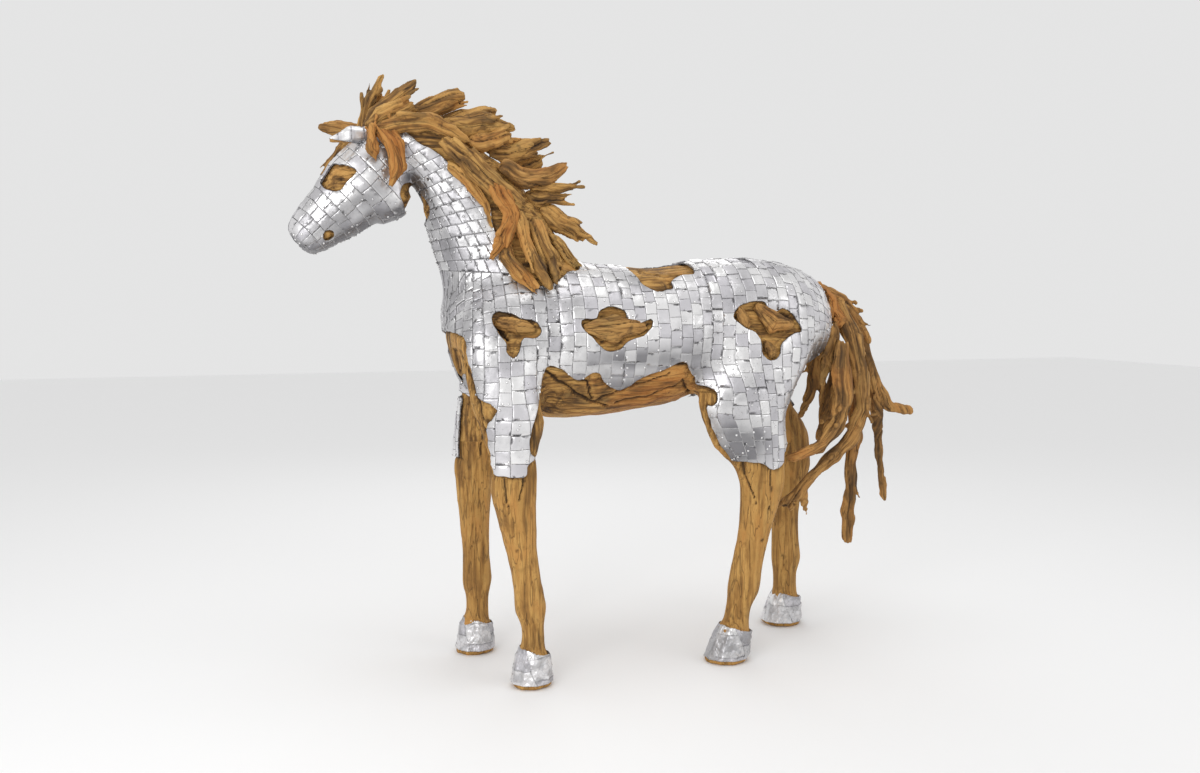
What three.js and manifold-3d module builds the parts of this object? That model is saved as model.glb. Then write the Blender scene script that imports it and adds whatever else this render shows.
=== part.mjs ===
// A standing horse built of driftwood roots and clad in small hammered steel plates.
// Millimetres, +Z up. The horse faces -X, its left side is -Y, and Z = 0 is the floor under its hooves.
import * as THREE from "three";
import { mergeVertices } from "three/addons/utils/BufferGeometryUtils.js";
import Module from "manifold-3d";

const wasm = await Module();
wasm.setup();

// Driving dimensions of the whole horse.
const chestX = -610;
const rumpX = 714;
const backZ = 1300;
const bellyZ = 805;
const barrelHalfWidth = 232;
const jointZ = { front_left: 720, front_right: 720, hind_left: 715, hind_right: 812 }; // body meets lower leg
const hoofHeight = 112;
const soleHeight = 12;
const gap = 0.3; // clearance between touching pieces
const plateThickness = 2.7;
const hoofPlate = 3;
const hoofNarrowing = 0.94; // a hoof's width as a share of its length
const coronetSlope = 0.24; // radians that the top of a hoof falls towards its heel
const skinEnds = { front_left: 600, front_right: 600, hind_left: 600, hind_right: 700 };
const eye = { x: -928, y: 56, z: 1541, halves: [17, 12, 12] };
const past = 1600; // longer than anything that a cutter has to reach through
const thinnest = 3; // half thickness of a shard at its thinnest
const capShare = 1e-4; // how near its ends a limb's points belong to its caps
const midGap = 20; // half the strip along the middle that a cut through one side leaves alone

const teak = new THREE.MeshStandardMaterial({ color: 0xa9793c, roughness: 0.75, metalness: 0 });
const darkTeak = new THREE.MeshStandardMaterial({ color: 0x8a5a2a, roughness: 0.8, metalness: 0 });
const paleTeak = new THREE.MeshStandardMaterial({ color: 0xc2924e, roughness: 0.7, metalness: 0 });
const steel = new THREE.MeshStandardMaterial({ color: 0xc9cacf, roughness: 0.3, metalness: 1 });

// A closed solid for cutting and joining, from any closed geometry.
function solid(geometry) {
  const bare = geometry.clone();
  bare.deleteAttribute("normal");
  bare.deleteAttribute("uv");
  const merged = mergeVertices(bare, 1e-3);
  return new wasm.Manifold(
    new wasm.Mesh({
      numProp: 3,
      vertProperties: merged.attributes.position.array,
      triVerts: new Uint32Array(merged.index.array),
    }),
  );
}

const joined = (solids) => solids.reduce((all, next) => all.add(next));
const largest = (made) => made.decompose().sort((a, b) => b.volume() - a.volume())[0];

// A named mesh from a finished solid.
function piece(name, made, material) {
  const { numProp, numVert, vertProperties, triVerts } = made.getMesh();
  const points = new Float32Array(numVert * 3);
  for (let i = 0; i < numVert; i++) {
    points.set(vertProperties.subarray(i * numProp, i * numProp + 3), i * 3);
  }
  const geometry = new THREE.BufferGeometry();
  geometry.setAttribute("position", new THREE.BufferAttribute(points, 3));
  geometry.setIndex(new THREE.BufferAttribute(triVerts, 1));
  geometry.computeVertexNormals();
  const mesh = new THREE.Mesh(geometry, material);
  mesh.name = name;
  return mesh;
}

// A rounded limb: a closed cylinder bent along its stations, each [x, y, z, deep, wide].
// The fourth number is the half size seen from the side and the fifth the half size across the horse.
function limb(stations, sides, grow = 0) {
  const centres = stations.map(([x, y, z]) => new THREE.Vector3(x, y, z));
  const sizes = stations.map(([, , , deep, wide]) => new THREE.Vector3(deep, wide, 0));
  const path = new THREE.CatmullRomCurve3(centres, false, "catmullrom", 0.5);
  const size = new THREE.CatmullRomCurve3(sizes, false, "catmullrom", 0.5);
  const shape = new THREE.CylinderGeometry(1, 1, 1, sides, stations.length - 1, false, Math.PI / 2);
  const at = shape.attributes.position;
  const across = new THREE.Vector3(0, 1, 0);
  for (let i = 0; i < at.count; i++) {
    const t = THREE.MathUtils.clamp(0.5 - at.getY(i), 0, 1);
    const along = path.getTangent(t);
    const inView = along.clone().cross(across).normalize();
    const outOfView = inView.clone().cross(along).normalize();
    const s = size.getPoint(t);
    const point = path.getPoint(t);
    point.addScaledVector(inView, at.getX(i) * (s.x + grow));
    point.addScaledVector(outOfView, -at.getZ(i) * (s.y + grow));
    point.addScaledVector(along, t < capShare ? -grow : t > 1 - capShare ? grow : 0);
    at.setXYZ(i, point.x, point.y, point.z);
  }
  const made = solid(shape);
  if (made.volume() < 0) throw new Error("a limb's stations turn it inside out");
  return made;
}

// A ball with its own half sizes along X, Y and Z.
function lump(centre, halves, grow = 0) {
  const ball = new THREE.SphereGeometry(1, 8, 5);
  ball.scale(...halves.map((half) => half + grow)).translate(...centre);
  return solid(ball);
}

// A box from its lowest to its highest corner.
function box(low, high) {
  const size = high.map((value, i) => value - low[i]);
  const shape = new THREE.BoxGeometry(...size);
  shape.translate(...low.map((value, i) => value + size[i] / 2));
  return solid(shape);
}

// A prism across the horse, from an outline of [x, z] points in the side view, between two values of Y.
function prism(outline, fromY, toY) {
  const shape = new THREE.Shape(outline.map(([x, z]) => new THREE.Vector2(x, z)));
  const slab = new THREE.ExtrudeGeometry(shape, { depth: toY - fromY, bevelEnabled: false });
  slab.rotateX(Math.PI / 2).translate(0, toY, 0);
  return solid(slab);
}

// Torso, neck and head, as stations from end to end.
const torso = [
  [chestX, 0, 1104, 88, 104],
  [-560, 0, 1112, 166, 164],
  [-450, 0, 1078, 236, 203],
  [-300, 0, (backZ + 13 + bellyZ + 4) / 2, 252, 222],
  [-110, 0, (backZ + 4 + bellyZ) / 2, 249, barrelHalfWidth],
  [80, 0, 1064, 231, barrelHalfWidth],
  [270, 0, 1102, 218, 220],
  [400, 0, 1118, 208, 222],
  [510, 0, 1118, 196, 206],
  [600, 0, 1116, 173, 164],
  [670, 0, 1122, 140, 104],
  [rumpX, 0, 1130, 100, 60],
];
const neck = [
  [-340, 0, 1120, 215, 165],
  [-410, 0, 1245, 215, 152],
  [-470, 0, 1385, 191, 122],
  [-540, 0, 1508, 163, 98],
  [-622, 0, 1605, 118, 84],
  [-705, 0, 1655, 92, 74],
  [-775, 0, 1655, 78, 62],
];
const head = [
  [-735, 0, 1655, 62, 52],
  [-797, 0, 1606, 104, 78],
  [-868, 0, 1522, 114, 88],
  [-930, 0, 1460, 96, 70],
  [-988, 0, 1412, 80, 55],
  [-1030, 0, 1372, 64, 50],
  [-1049, 0, 1355, 46, 38],
];
const jaw = { centre: [-802, 0, 1500], halves: [94, 74, 88] };

// Legs, from the shoulder or the haunch down to the pastern.
const legs = {
  front_left: [
    [-462, -120, 1180, 95, 60],
    [-478, -150, 1040, 135, 76],
    [-468, -168, 910, 122, 76],
    [-446, -182, 800, 104, 70],
    [-446, -187, 700, 79, 64],
    [-445, -190, 600, 75, 58],
    [-435, -190, 520, 63, 52],
    [-423, -190, 430, 51, 44],
    [-407, -190, 340, 47, 41],
    [-394, -190, 238, 54, 46],
    [-388, -190, 185, 37, 35],
    [-386, -190, 105, 40, 38],
  ],
  front_right: [
    [-445, 120, 1180, 80, 60],
    [-445, 150, 1040, 92, 74],
    [-458, 168, 910, 82, 74],
    [-474, 182, 800, 76, 70],
    [-486, 187, 700, 76, 64],
    [-490, 190, 600, 68, 57],
    [-490, 190, 520, 60, 51],
    [-489, 190, 430, 53, 44],
    [-486, 190, 340, 48, 41],
    [-483, 190, 238, 54, 46],
    [-482, 190, 185, 39, 35],
    [-484, 190, 105, 41, 38],
  ],
  hind_left: [
    [440, -110, 1200, 120, 74],
    [415, -138, 1070, 190, 92],
    [357, -150, 950, 174, 90],
    [325, -158, 850, 168, 84],
    [350, -160, 750, 137, 76],
    [396, -160, 655, 97, 66],
    [402, -160, 575, 82, 57],
    [388, -160, 500, 68, 52],
    [374, -160, 430, 58, 46],
    [352, -160, 330, 56, 42],
    [337, -160, 235, 58, 46],
    [321, -160, 180, 44, 38],
    [308, -160, 100, 48, 41],
  ],
  hind_right: [
    [450, 110, 1200, 120, 74],
    [450, 138, 1070, 184, 92],
    [462, 150, 950, 162, 89],
    [505, 156, 850, 142, 84],
    [580, 160, 750, 120, 74],
    [658, 160, 660, 98, 63],
    [680, 160, 580, 78, 54],
    [660, 160, 500, 61, 49],
    [653, 160, 400, 55, 44],
    [656, 160, 310, 55, 43],
    [660, 160, 240, 60, 46],
    [655, 160, 185, 47, 38],
    [658, 160, 100, 48, 41],
  ],
};

// Hooves: the middle of the coronet and of the sole along X, and their half lengths.
const hooves = {
  front_left: { y: -190, topX: -387, top: 54, soleX: -393, sole: 70 },
  front_right: { y: 190, topX: -487, top: 55, soleX: -491, sole: 71 },
  hind_left: { y: -160, topX: 305, top: 63, soleX: 274, sole: 79 },
  hind_right: { y: 160, topX: 659, top: 58, soleX: 642, sole: 80 },
};

const below = (z) => box([-past, -past, -past], [past, past, z]);
const above = (z) => box([-past, -past, z], [past, past, past]);
const leg = (name, grow) => limb(legs[name], 8, grow);

// The rounded masses of the horse, grown by a margin for its cladding or for clearance.
function bodyMasses(grow, legEnds) {
  return joined([
    limb(torso, 12, grow),
    limb(neck, 8, grow),
    limb(head, 8, grow),
    lump(jaw.centre, jaw.halves, grow),
    ...Object.keys(legs).map((name) => leg(name, grow).subtract(below(legEnds[name]))),
  ]);
}

// Belly logs that show below the cladding, from the elbow to the flank.
const bellyRoots = {
  belly_root_front: [
    [-352, 0, 905, 58, 118],
    [-290, 0, 884, 80, 170],
    [-190, 0, 872, 70, 174],
    [-70, 0, 868, 46, 150],
  ],
  belly_root_middle: [[-66, 0, 876, 52, 150], [-10, 0, 888, 66, 164], [60, 0, 902, 64, 160]],
  belly_root_rear: [[66, 0, 904, 62, 150], [130, 0, 912, 66, 156], [196, 0, 922, 58, 120]],
};

// Openings in the cladding that show the wood, as outlines of [x, z] in the side view.
const openings = {
  shoulder: [
    [-510, 1125], [-500, 1147], [-470, 1148], [-440, 1142], [-418, 1127], [-385, 1125], [-360, 1092],
    [-385, 1070], [-420, 1068], [-437, 1026], [-453, 1014], [-472, 1026], [-474, 1060], [-495, 1088],
  ],
  flank: [
    [-238, 1105], [-230, 1126], [-190, 1128], [-178, 1148], [-152, 1162], [-118, 1160], [-95, 1146],
    [-85, 1118], [-55, 1110], [-8, 1126], [-32, 1082], [-85, 1064], [-120, 1032], [-162, 1030], [-200, 1066],
  ],
  hip: [
    [268, 1130], [296, 1168], [355, 1182], [385, 1172], [398, 1154], [422, 1146], [450, 1157], [478, 1140],
    [498, 1118], [515, 1084], [480, 1075], [448, 1058], [428, 1038], [424, 1012], [404, 994], [380, 994],
    [360, 1016], [358, 1042], [344, 1078], [304, 1098],
  ],
  back: [[-35, 1340], [-25, 1245], [15, 1212], [76, 1218], [84, 1242], [125, 1262], [176, 1272], [146, 1340]],
  stifle: [
    [100, 968], [150, 940], [162, 918], [208, 900], [216, 866], [196, 848], [160, 838], [212, 722],
    [262, 640], [60, 640], [60, 960],
  ],
  brow: [[-985, 1552], [-975, 1590], [-896, 1572], [-884, 1558], [-908, 1536], [-932, 1504], [-975, 1512]],
  throat: [[-757, 1500], [-742, 1532], [-715, 1538], [-688, 1508], [-664, 1458], [-682, 1406], [-730, 1440]],
};
const mouthPlug = { x: -966, z: 1376, radius: 16 };

// Where the cladding ends, each outline closed round the wood that stays bare.
const bareWood = {
  belly: [
    [-372, 700], [-372, 884], [-350, 968], [-334, 986], [-295, 974], [-240, 940], [-202, 964], [-178, 958],
    [-160, 934], [-100, 906], [-40, 944], [35, 968], [66, 984], [110, 986], [150, 900], [150, 700],
  ],
  chest: [
    [-800, 1092], [-604, 1086], [-582, 1010], [-566, 935], [-554, 895], [-526, 866], [-521, 830], [-531, 800],
    [-526, 560], [-800, 560],
  ],
  crest: [
    [-862, 1672], [-800, 1668], [-752, 1690], [-700, 1652], [-644, 1622], [-567, 1548], [-500, 1482],
    [-484, 1405], [-446, 1330], [-352, 1226], [-255, 1268], [-195, 1330], [-195, 1800], [-862, 1800],
  ],
  frontHem: [[-640, 560], [-640, 662], [-512, 664], [-424, 656], [-408, 700], [-300, 706], [-300, 560]],
  leftHindHem: [
    [150, 560], [150, 664], [345, 662], [372, 658], [394, 640], [420, 636], [452, 656], [474, 706],
    [640, 706], [640, 560],
  ],
  rightHindHem: [[360, 560], [360, 790], [520, 790], [600, 770], [700, 800], [860, 800], [860, 560]],
};
const rightShift = { flank: [70, 10], hip: [-30, 5] }; // the far side is patched in other places

// Roots that show in the openings, each along its own spine and let into the body.
const openingRoots = {
  shoulder_root: {
    side: -1,
    spine: [[-494, 186, 1118, 14, 12], [-450, 200, 1108, 28, 18], [-376, 200, 1098, 16, 14]],
  },
  flank_root: {
    side: -1,
    spine: [[-226, 218, 1096, 12, 12], [-140, 220, 1096, 50, 18], [-30, 218, 1106, 12, 12]],
  },
  hip_root_front: {
    side: -1,
    spine: [[288, 204, 1156, 12, 12], [304, 212, 1128, 20, 18], [322, 212, 1096, 12, 12]],
  },
  hip_root_large: {
    side: -1,
    spine: [[350, 202, 1164, 14, 14], [408, 212, 1108, 42, 26], [492, 190, 1104, 16, 16]],
  },
  hip_root_low: {
    side: -1,
    spine: [[376, 220, 1052, 12, 12], [394, 224, 1026, 20, 18], [396, 222, 1002, 12, 12]],
  },
  right_flank_root: {
    side: 1,
    spine: [[-150, 218, 1106, 12, 12], [-70, 220, 1106, 50, 18], [40, 218, 1114, 12, 12]],
  },
  right_hip_root: {
    side: 1,
    spine: [[274, 204, 1140, 20, 14], [360, 212, 1110, 56, 24], [460, 196, 1106, 20, 16]],
  },
};

// Driftwood of the mane, the front row first: the spine of each shard as [x, y, z, half width], and its
// thickness as a share of its width.
const mane = {
  cheek_lock: {
    flat: 0.45,
    spine: [[-818, -84, 1678, 20], [-772, -98, 1638, 28], [-764, -102, 1580, 28], [-790, -106, 1518, 8]],
  },
  cheek_tine: {
    flat: 0.5,
    spine: [[-842, -84, 1676, 16], [-840, -100, 1628, 20], [-828, -104, 1584, 5]],
  },
  long_band: {
    flat: 0.42,
    spine: [
      [-632, -92, 1662, 22], [-565, -108, 1606, 36], [-490, -110, 1540, 38], [-402, -104, 1470, 30],
    ],
  },
  orange_blade: {
    flat: 0.4,
    spine: [
      [-520, -116, 1556, 12], [-458, -126, 1500, 30], [-428, -132, 1442, 32], [-460, -148, 1372, 26],
      [-506, -164, 1304, 8],
    ],
  },
  poll_arch: {
    flat: 0.42,
    spine: [
      [-838, -70, 1688, 10], [-765, -80, 1700, 26], [-672, -82, 1716, 30], [-606, -76, 1692, 24],
      [-545, -70, 1660, 8],
    ],
  },
  poll_blade: {
    flat: 0.42,
    spine: [[-850, -46, 1684, 16], [-800, -44, 1728, 34], [-745, -38, 1756, 30], [-706, -30, 1768, 14]],
  },
  hanging_strip: {
    flat: 0.5,
    spine: [
      [-414, -118, 1452, 20], [-390, -148, 1350, 24], [-350, -162, 1278, 22], [-322, -186, 1214, 7],
    ],
  },
  hanging_slab: {
    flat: 0.5,
    spine: [[-350, -96, 1428, 26], [-326, -128, 1340, 28], [-296, -146, 1252, 16]],
  },
  mane_foot: {
    flat: 0.5,
    spine: [
      [-446, -136, 1372, 10], [-458, -150, 1316, 26], [-414, -164, 1268, 24], [-362, -180, 1226, 8],
    ],
  },
  steel_edge_strip: {
    flat: 0.7,
    spine: [[-606, -90, 1592, 8], [-552, -100, 1534, 14], [-506, -110, 1470, 14], [-492, -122, 1404, 6]],
  },
  withers_stub: {
    flat: 0.55,
    spine: [[-330, -66, 1382, 30], [-262, -72, 1342, 30], [-214, -74, 1288, 20]],
  },
  forked_root: {
    flat: 0.5,
    spine: [[-452, -62, 1596, 30], [-376, -62, 1556, 38], [-285, -44, 1572, 26], [-222, -30, 1610, 14]],
  },
  forked_tine: { flat: 0.6, spine: [[-352, -40, 1536, 18], [-285, -38, 1538, 18], [-208, -32, 1530, 5]] },
  upper_wing: { flat: 0.55, spine: [[-560, -40, 1640, 34], [-486, -48, 1668, 28], [-410, -40, 1692, 12]] },
  upper_slab: { flat: 0.5, spine: [[-640, -22, 1694, 34], [-505, -34, 1724, 38], [-400, -28, 1716, 12]] },
  forelock_knob: {
    flat: 0.7,
    spine: [[-850, -12, 1660, 26], [-825, -12, 1738, 24], [-750, -10, 1792, 22], [-704, -8, 1838, 13]],
  },
  crest_branch: {
    flat: 0.6,
    spine: [[-752, 12, 1712, 30], [-665, 10, 1762, 34], [-605, 6, 1790, 34], [-558, 4, 1822, 22]],
  },
  forelock_spike: { flat: 0.7, spine: [[-862, 22, 1665, 20], [-845, 22, 1755, 15], [-800, 20, 1822, 4]] },
  forelock_fork: { flat: 0.6, spine: [[-812, 50, 1660, 22], [-800, 40, 1755, 15], [-768, 36, 1822, 5]] },
  crest_finger: { flat: 0.8, spine: [[-650, 30, 1700, 30], [-545, 24, 1754, 22], [-448, 16, 1772, 9]] },
  brow_lock: { flat: 0.5, spine: [[-892, 40, 1662, 20], [-926, 56, 1634, 15], [-952, 66, 1596, 5]] },
  ragged_wing: {
    flat: 0.5,
    spine: [[-500, 0, 1590, 40], [-430, -8, 1632, 44], [-352, -10, 1656, 32], [-278, -8, 1682, 8]],
  },
  knob_stub: { flat: 0.7, spine: [[-440, 34, 1560, 34], [-360, 28, 1608, 28], [-296, 20, 1616, 16]] },
  ridge_spur: { flat: 0.6, spine: [[-420, -30, 1470, 40], [-318, -32, 1500, 30], [-232, -30, 1514, 7]] },
  withers_slab: {
    flat: 0.5,
    spine: [[-392, -18, 1440, 44], [-280, -24, 1446, 46], [-212, -22, 1412, 32], [-168, -18, 1372, 7]],
  },
  right_poll_lock: {
    flat: 0.45,
    spine: [[-822, 80, 1690, 24], [-765, 96, 1640, 34], [-740, 100, 1560, 8]],
  },
  right_band: {
    flat: 0.42,
    spine: [[-700, 84, 1700, 20], [-590, 104, 1620, 40], [-480, 112, 1530, 42], [-402, 110, 1440, 14]],
  },
  right_blade: {
    flat: 0.42,
    spine: [[-520, 112, 1500, 20], [-450, 136, 1420, 36], [-430, 160, 1320, 8]],
  },
  right_slab: { flat: 0.5, spine: [[-400, 78, 1510, 40], [-330, 104, 1410, 44], [-300, 146, 1262, 14]] },
};

// Branches of the tail, each grown from one or more spines of [x, y, z, half size in view, half size across].
const tail = {
  tail_root_cap: [[[640, -40, 1236, 26, 20], [690, -52, 1172, 42, 26], [744, -56, 1100, 26, 16]]],
  tail_hooked_branch: [[
    [728, -96, 1036, 20, 12], [716, -108, 935, 40, 20], [728, -112, 852, 34, 18], [702, -122, 765, 30, 17],
    [628, -134, 688, 22, 14], [548, -146, 668, 14, 10], [500, -152, 664, 6, 5],
  ]],
  tail_long_branch: [
    [
      [742, -34, 1172, 24, 16], [796, -52, 1050, 34, 20], [832, -58, 910, 27, 18], [834, -64, 810, 31, 18],
      [790, -70, 712, 27, 16], [712, -74, 642, 24, 15], [636, -74, 586, 19, 13], [580, -70, 520, 20, 13],
      [516, -62, 484, 10, 7],
    ],
    [[606, -72, 556, 12, 9], [604, -72, 500, 11, 7], [616, -70, 446, 4, 4]],
  ],
  tail_outer_branch: [
    [
      [776, 14, 1166, 24, 16], [868, 16, 1060, 24, 14], [908, 20, 940, 22, 14], [946, 20, 842, 34, 18],
      [994, 16, 800, 18, 11], [1081, 12, 782, 11, 8],
    ],
    [[938, 20, 850, 30, 14], [950, 26, 740, 20, 12], [960, 30, 616, 12, 8], [984, 30, 466, 12, 8]],
  ],
  tail_low_branch: [[
    [808, 6, 1010, 18, 12], [832, -2, 830, 25, 14], [836, -10, 695, 27, 14], [818, -15, 605, 20, 12],
    [820, -15, 520, 22, 13], [808, -15, 436, 28, 17], [812, -15, 336, 19, 12],
  ]],
  tail_near_plate: [[
    [668, -70, 1134, 20, 14], [692, -76, 1080, 38, 16], [694, -70, 990, 34, 14], [672, -62, 898, 8, 5],
  ]],
  tail_inner_root: [
    [
      [655, 44, 1080, 30, 20], [710, 52, 1010, 42, 18], [712, 56, 925, 30, 14], [692, 62, 845, 20, 10],
      [664, 70, 772, 8, 5],
    ],
    [[708, 50, 960, 20, 10], [738, 48, 870, 15, 8], [728, 48, 806, 6, 4]],
  ],
  tail_burl: [[
    [800, 52, 1000, 18, 10], [788, 54, 880, 28, 16], [766, 58, 790, 33, 16], [736, 60, 690, 9, 6],
  ]],
  tail_back_spur: [[
    [700, 10, 1216, 24, 18], [780, 4, 1176, 27, 16], [844, 0, 1108, 23, 12], [888, 0, 1040, 8, 5],
  ]],
};

const ears = {
  left_ear: [[-838, -44, 1674, 26, 15], [-900, -56, 1668, 25, 15], [-960, -64, 1650, 6, 5]],
  right_ear: [[-838, 40, 1688, 28, 15], [-930, 52, 1700, 30, 15], [-982, 56, 1704, 10, 6]],
};

// An outline moved along X and Z.
const moved = (outline, [dx, dz]) => outline.map(([x, z]) => [x + dx, z + dz]);

// A prism through one side of the horse only: -1 is its left side and 1 its right.
const sidePrism = (outline, side) =>
  side < 0 ? prism(outline, -past, -midGap) : prism(outline, midGap, past);
const through = (outline) => prism(outline, -past, past);

// A cutter right through the horse that stays a little inside its outline all round.
function drawnIn(outline) {
  const step = 2 * gap;
  const turns = [[step, 0], [-step, 0], [0, step], [0, -step]];
  return turns.map((turn) => through(moved(outline, turn))).reduce((all, next) => all.intersect(next));
}

// Everything that the cladding leaves bare.
function bareAreas() {
  const plug = new THREE.CylinderGeometry(mouthPlug.radius, mouthPlug.radius, 2 * past, 10);
  return joined([
    sidePrism(openings.shoulder, -1),
    sidePrism(openings.flank, -1),
    sidePrism(openings.hip, -1),
    sidePrism(moved(openings.flank, rightShift.flank), 1),
    sidePrism(moved(openings.hip, rightShift.hip), 1),
    sidePrism(openings.brow, -1),
    sidePrism(openings.brow, 1),
    prism(openings.back, -past, 40),
    through(openings.stifle),
    through(openings.throat),
    through(bareWood.belly),
    through(bareWood.chest),
    through(bareWood.crest),
    through(bareWood.frontHem),
    prism(bareWood.leftHindHem, -past, 0),
    prism(bareWood.rightHindHem, 0, past),
    solid(plug.translate(mouthPlug.x, 0, mouthPlug.z)),
    box([-past, -145, 0], [past, 168, 862]), // the legs are bare on their inner sides
    box([520, -80, 0], [past, 80, 1228]), // and the rump is bare under the tail
  ]);
}

// A slice of a hoof between two heights, drawn in by an inset.
function hoofSlice({ y, topX, top, soleX, sole }, fromZ, toZ, inset) {
  const half = (z) => THREE.MathUtils.lerp(sole, top, z / hoofHeight) - inset;
  const slice = new THREE.CylinderGeometry(half(toZ), half(fromZ), toZ - fromZ, 10);
  slice.rotateX(Math.PI / 2).scale(1, hoofNarrowing, 1).translate(0, 0, (fromZ + toZ) / 2);
  slice.applyMatrix4(new THREE.Matrix4().makeShear(0, 0, 0, 0, (topX - soleX) / hoofHeight, 0));
  return solid(slice.translate(soleX, y, 0));
}

// Everything above a hoof's coronet, which is higher at the toe than at the heel.
function aboveCoronet({ y, topX }, z) {
  const block = new THREE.BoxGeometry(past, past, past);
  block.translate(0, 0, past / 2).rotateY(coronetSlope).translate(topX, y, z);
  return solid(block);
}

// A lower leg with its wooden foot, which shows as a rim below the steel sheath.
function lowerLeg(name) {
  const size = hooves[name];
  const foot = hoofSlice(size, 0, hoofHeight + 20, hoofPlate + gap)
    .subtract(aboveCoronet(size, hoofHeight - 4));
  const rim = hoofSlice(size, 0, soleHeight, 1);
  return joined([leg(name, 0).subtract(above(jointZ[name] - gap / 2)), foot, rim]);
}

function hoofSheath(name) {
  const size = hooves[name];
  return hoofSlice(size, soleHeight + gap, hoofHeight + 20, 0)
    .subtract(hoofSlice(size, 0, hoofHeight + 40, hoofPlate))
    .subtract(aboveCoronet(size, hoofHeight))
    .subtract(leg(name, gap));
}

const horse = new THREE.Group();

// The wooden body, with pockets for the belly logs and for the roots in the openings.
const allLegs = (grow) => joined(Object.keys(legs).map((name) => leg(name, grow)));
const bellyLog = (stations, grow) => limb(stations, 8, grow).subtract(allLegs(gap - grow));
function openingRoot({ side, spine }, grow) {
  return limb(spine.map(([x, y, z, ...size]) => [x, side * y, z, ...size]), 6, grow);
}
const pockets = joined([
  ...Object.values(bellyRoots).map((stations) => bellyLog(stations, gap)),
  ...Object.values(openingRoots).map((root) => openingRoot(root, gap)),
]);
const eyes = [-1, 1].map((side) => lump([eye.x, side * eye.y, eye.z], eye.halves));
const body = joined([bodyMasses(0, jointZ), ...eyes]).subtract(pockets);
horse.add(piece("wood_body", largest(body), teak));

// The cladding: a thin shell a hair off the wood, cut away where the wood shows.
const skinInside = bodyMasses(gap, skinEnds);
const skinOutside = bodyMasses(gap + plateThickness, skinEnds);
const skin = skinOutside.subtract(skinInside).subtract(bareAreas()).subtract(joined([...eyes, pockets]));
horse.add(piece("steel_cladding", largest(skin), steel));

// Everything placed so far, grown by the clearance. Each later piece gives way to it.
let taken = joined([
  skinInside,
  bodyMasses(2 * gap + plateThickness, skinEnds).subtract(drawnIn(bareWood.crest)),
]);
function place(name, shapeAt, material) {
  horse.add(piece(name, largest(shapeAt(0).subtract(taken)), material));
  taken = taken.add(shapeAt(gap));
}

let filled = [];
for (const [name, stations] of Object.entries(bellyRoots)) {
  const made = filled.reduce((rest, earlier) => rest.subtract(earlier), bellyLog(stations, 0));
  horse.add(piece(name, largest(made), teak));
  filled.push(bellyLog(stations, gap));
}
filled = [];
for (const [name, root] of Object.entries(openingRoots)) {
  const made = filled.reduce((rest, earlier) => rest.subtract(earlier), openingRoot(root, 0));
  horse.add(piece(name, largest(made), darkTeak));
  filled.push(openingRoot(root, gap));
}
for (const name of Object.keys(legs)) {
  horse.add(piece(`${name}_leg`, largest(lowerLeg(name)), paleTeak));
  horse.add(piece(`${name}_hoof`, largest(hoofSheath(name)), steel));
}
for (const [name, stations] of Object.entries(ears)) {
  place(name, (grow) => limb(stations, 6, grow), darkTeak);
}
for (const [name, { flat, spine }] of Object.entries(mane)) {
  const stations = spine.map(([x, y, z, half]) => [x, y, z, half, Math.max(half * flat, thinnest)]);
  place(name, (grow) => limb(stations, 6, grow), teak);
}
for (const [name, branches] of Object.entries(tail)) {
  place(name, (grow) => joined(branches.map((stations) => limb(stations, 6, grow))), darkTeak);
}

export default horse;
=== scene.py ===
# A life-size horse of driftwood roots under a skin of small steel plates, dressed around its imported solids.
import math
import random

import bmesh
import bpy
import numpy as np
from mathutils import Euler, Matrix, Vector, noise
from mathutils.bvhtree import BVHTree


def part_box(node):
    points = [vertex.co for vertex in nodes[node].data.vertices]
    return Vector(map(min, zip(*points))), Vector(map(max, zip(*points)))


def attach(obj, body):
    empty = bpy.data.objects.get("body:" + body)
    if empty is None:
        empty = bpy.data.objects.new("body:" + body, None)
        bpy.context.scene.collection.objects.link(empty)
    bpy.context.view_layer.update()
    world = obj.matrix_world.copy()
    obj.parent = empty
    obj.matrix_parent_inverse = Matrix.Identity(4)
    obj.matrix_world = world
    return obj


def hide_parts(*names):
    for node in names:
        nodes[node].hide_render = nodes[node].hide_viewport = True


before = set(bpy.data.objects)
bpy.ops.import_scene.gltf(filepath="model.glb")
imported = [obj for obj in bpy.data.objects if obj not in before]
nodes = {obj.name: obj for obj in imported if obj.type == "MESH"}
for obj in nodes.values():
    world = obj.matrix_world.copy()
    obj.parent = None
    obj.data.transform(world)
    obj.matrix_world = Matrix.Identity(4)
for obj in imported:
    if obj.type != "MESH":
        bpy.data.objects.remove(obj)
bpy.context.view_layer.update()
legNames = ["front_left", "front_right", "hind_left", "hind_right"]
bellyNames = ["belly_root_front", "belly_root_middle", "belly_root_rear"]


def placed(name, data):  # a new object in the scene
    made = bpy.data.objects.new(name, data)
    bpy.context.scene.collection.objects.link(made)
    return made


# camera and light

studio = {
    "cameraAt": (-1.215, -3.4052, 1.2),
    "cameraTurn": (85.245, 0, -18),  # degrees
    "lens": 33,
    "floorSize": 14,
    "floorColour": (0.93, 0.93, 0.93, 1),
    "worldColour": (1, 1, 1, 1),
    "worldStrength": 0.78,
}
softBoxes = {  # place, aim, size, power
    "key": ((-2.9, -3.3, 2.3), (-0.3, 0, 1.1), (2.2, 1.8), 56),
    "fill": ((2.9, -3.0, 2.2), (0.3, 0, 0.9), (1.4, 1.4), 9),
    "top": ((-0.4, -0.4, 4.0), (0, 0, 1.0), (2.4, 1.2), 18),
    "back": ((1.0, 3.4, 3.0), (0, 0, 1.1), (2.4, 1.6), 14),
}

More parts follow.
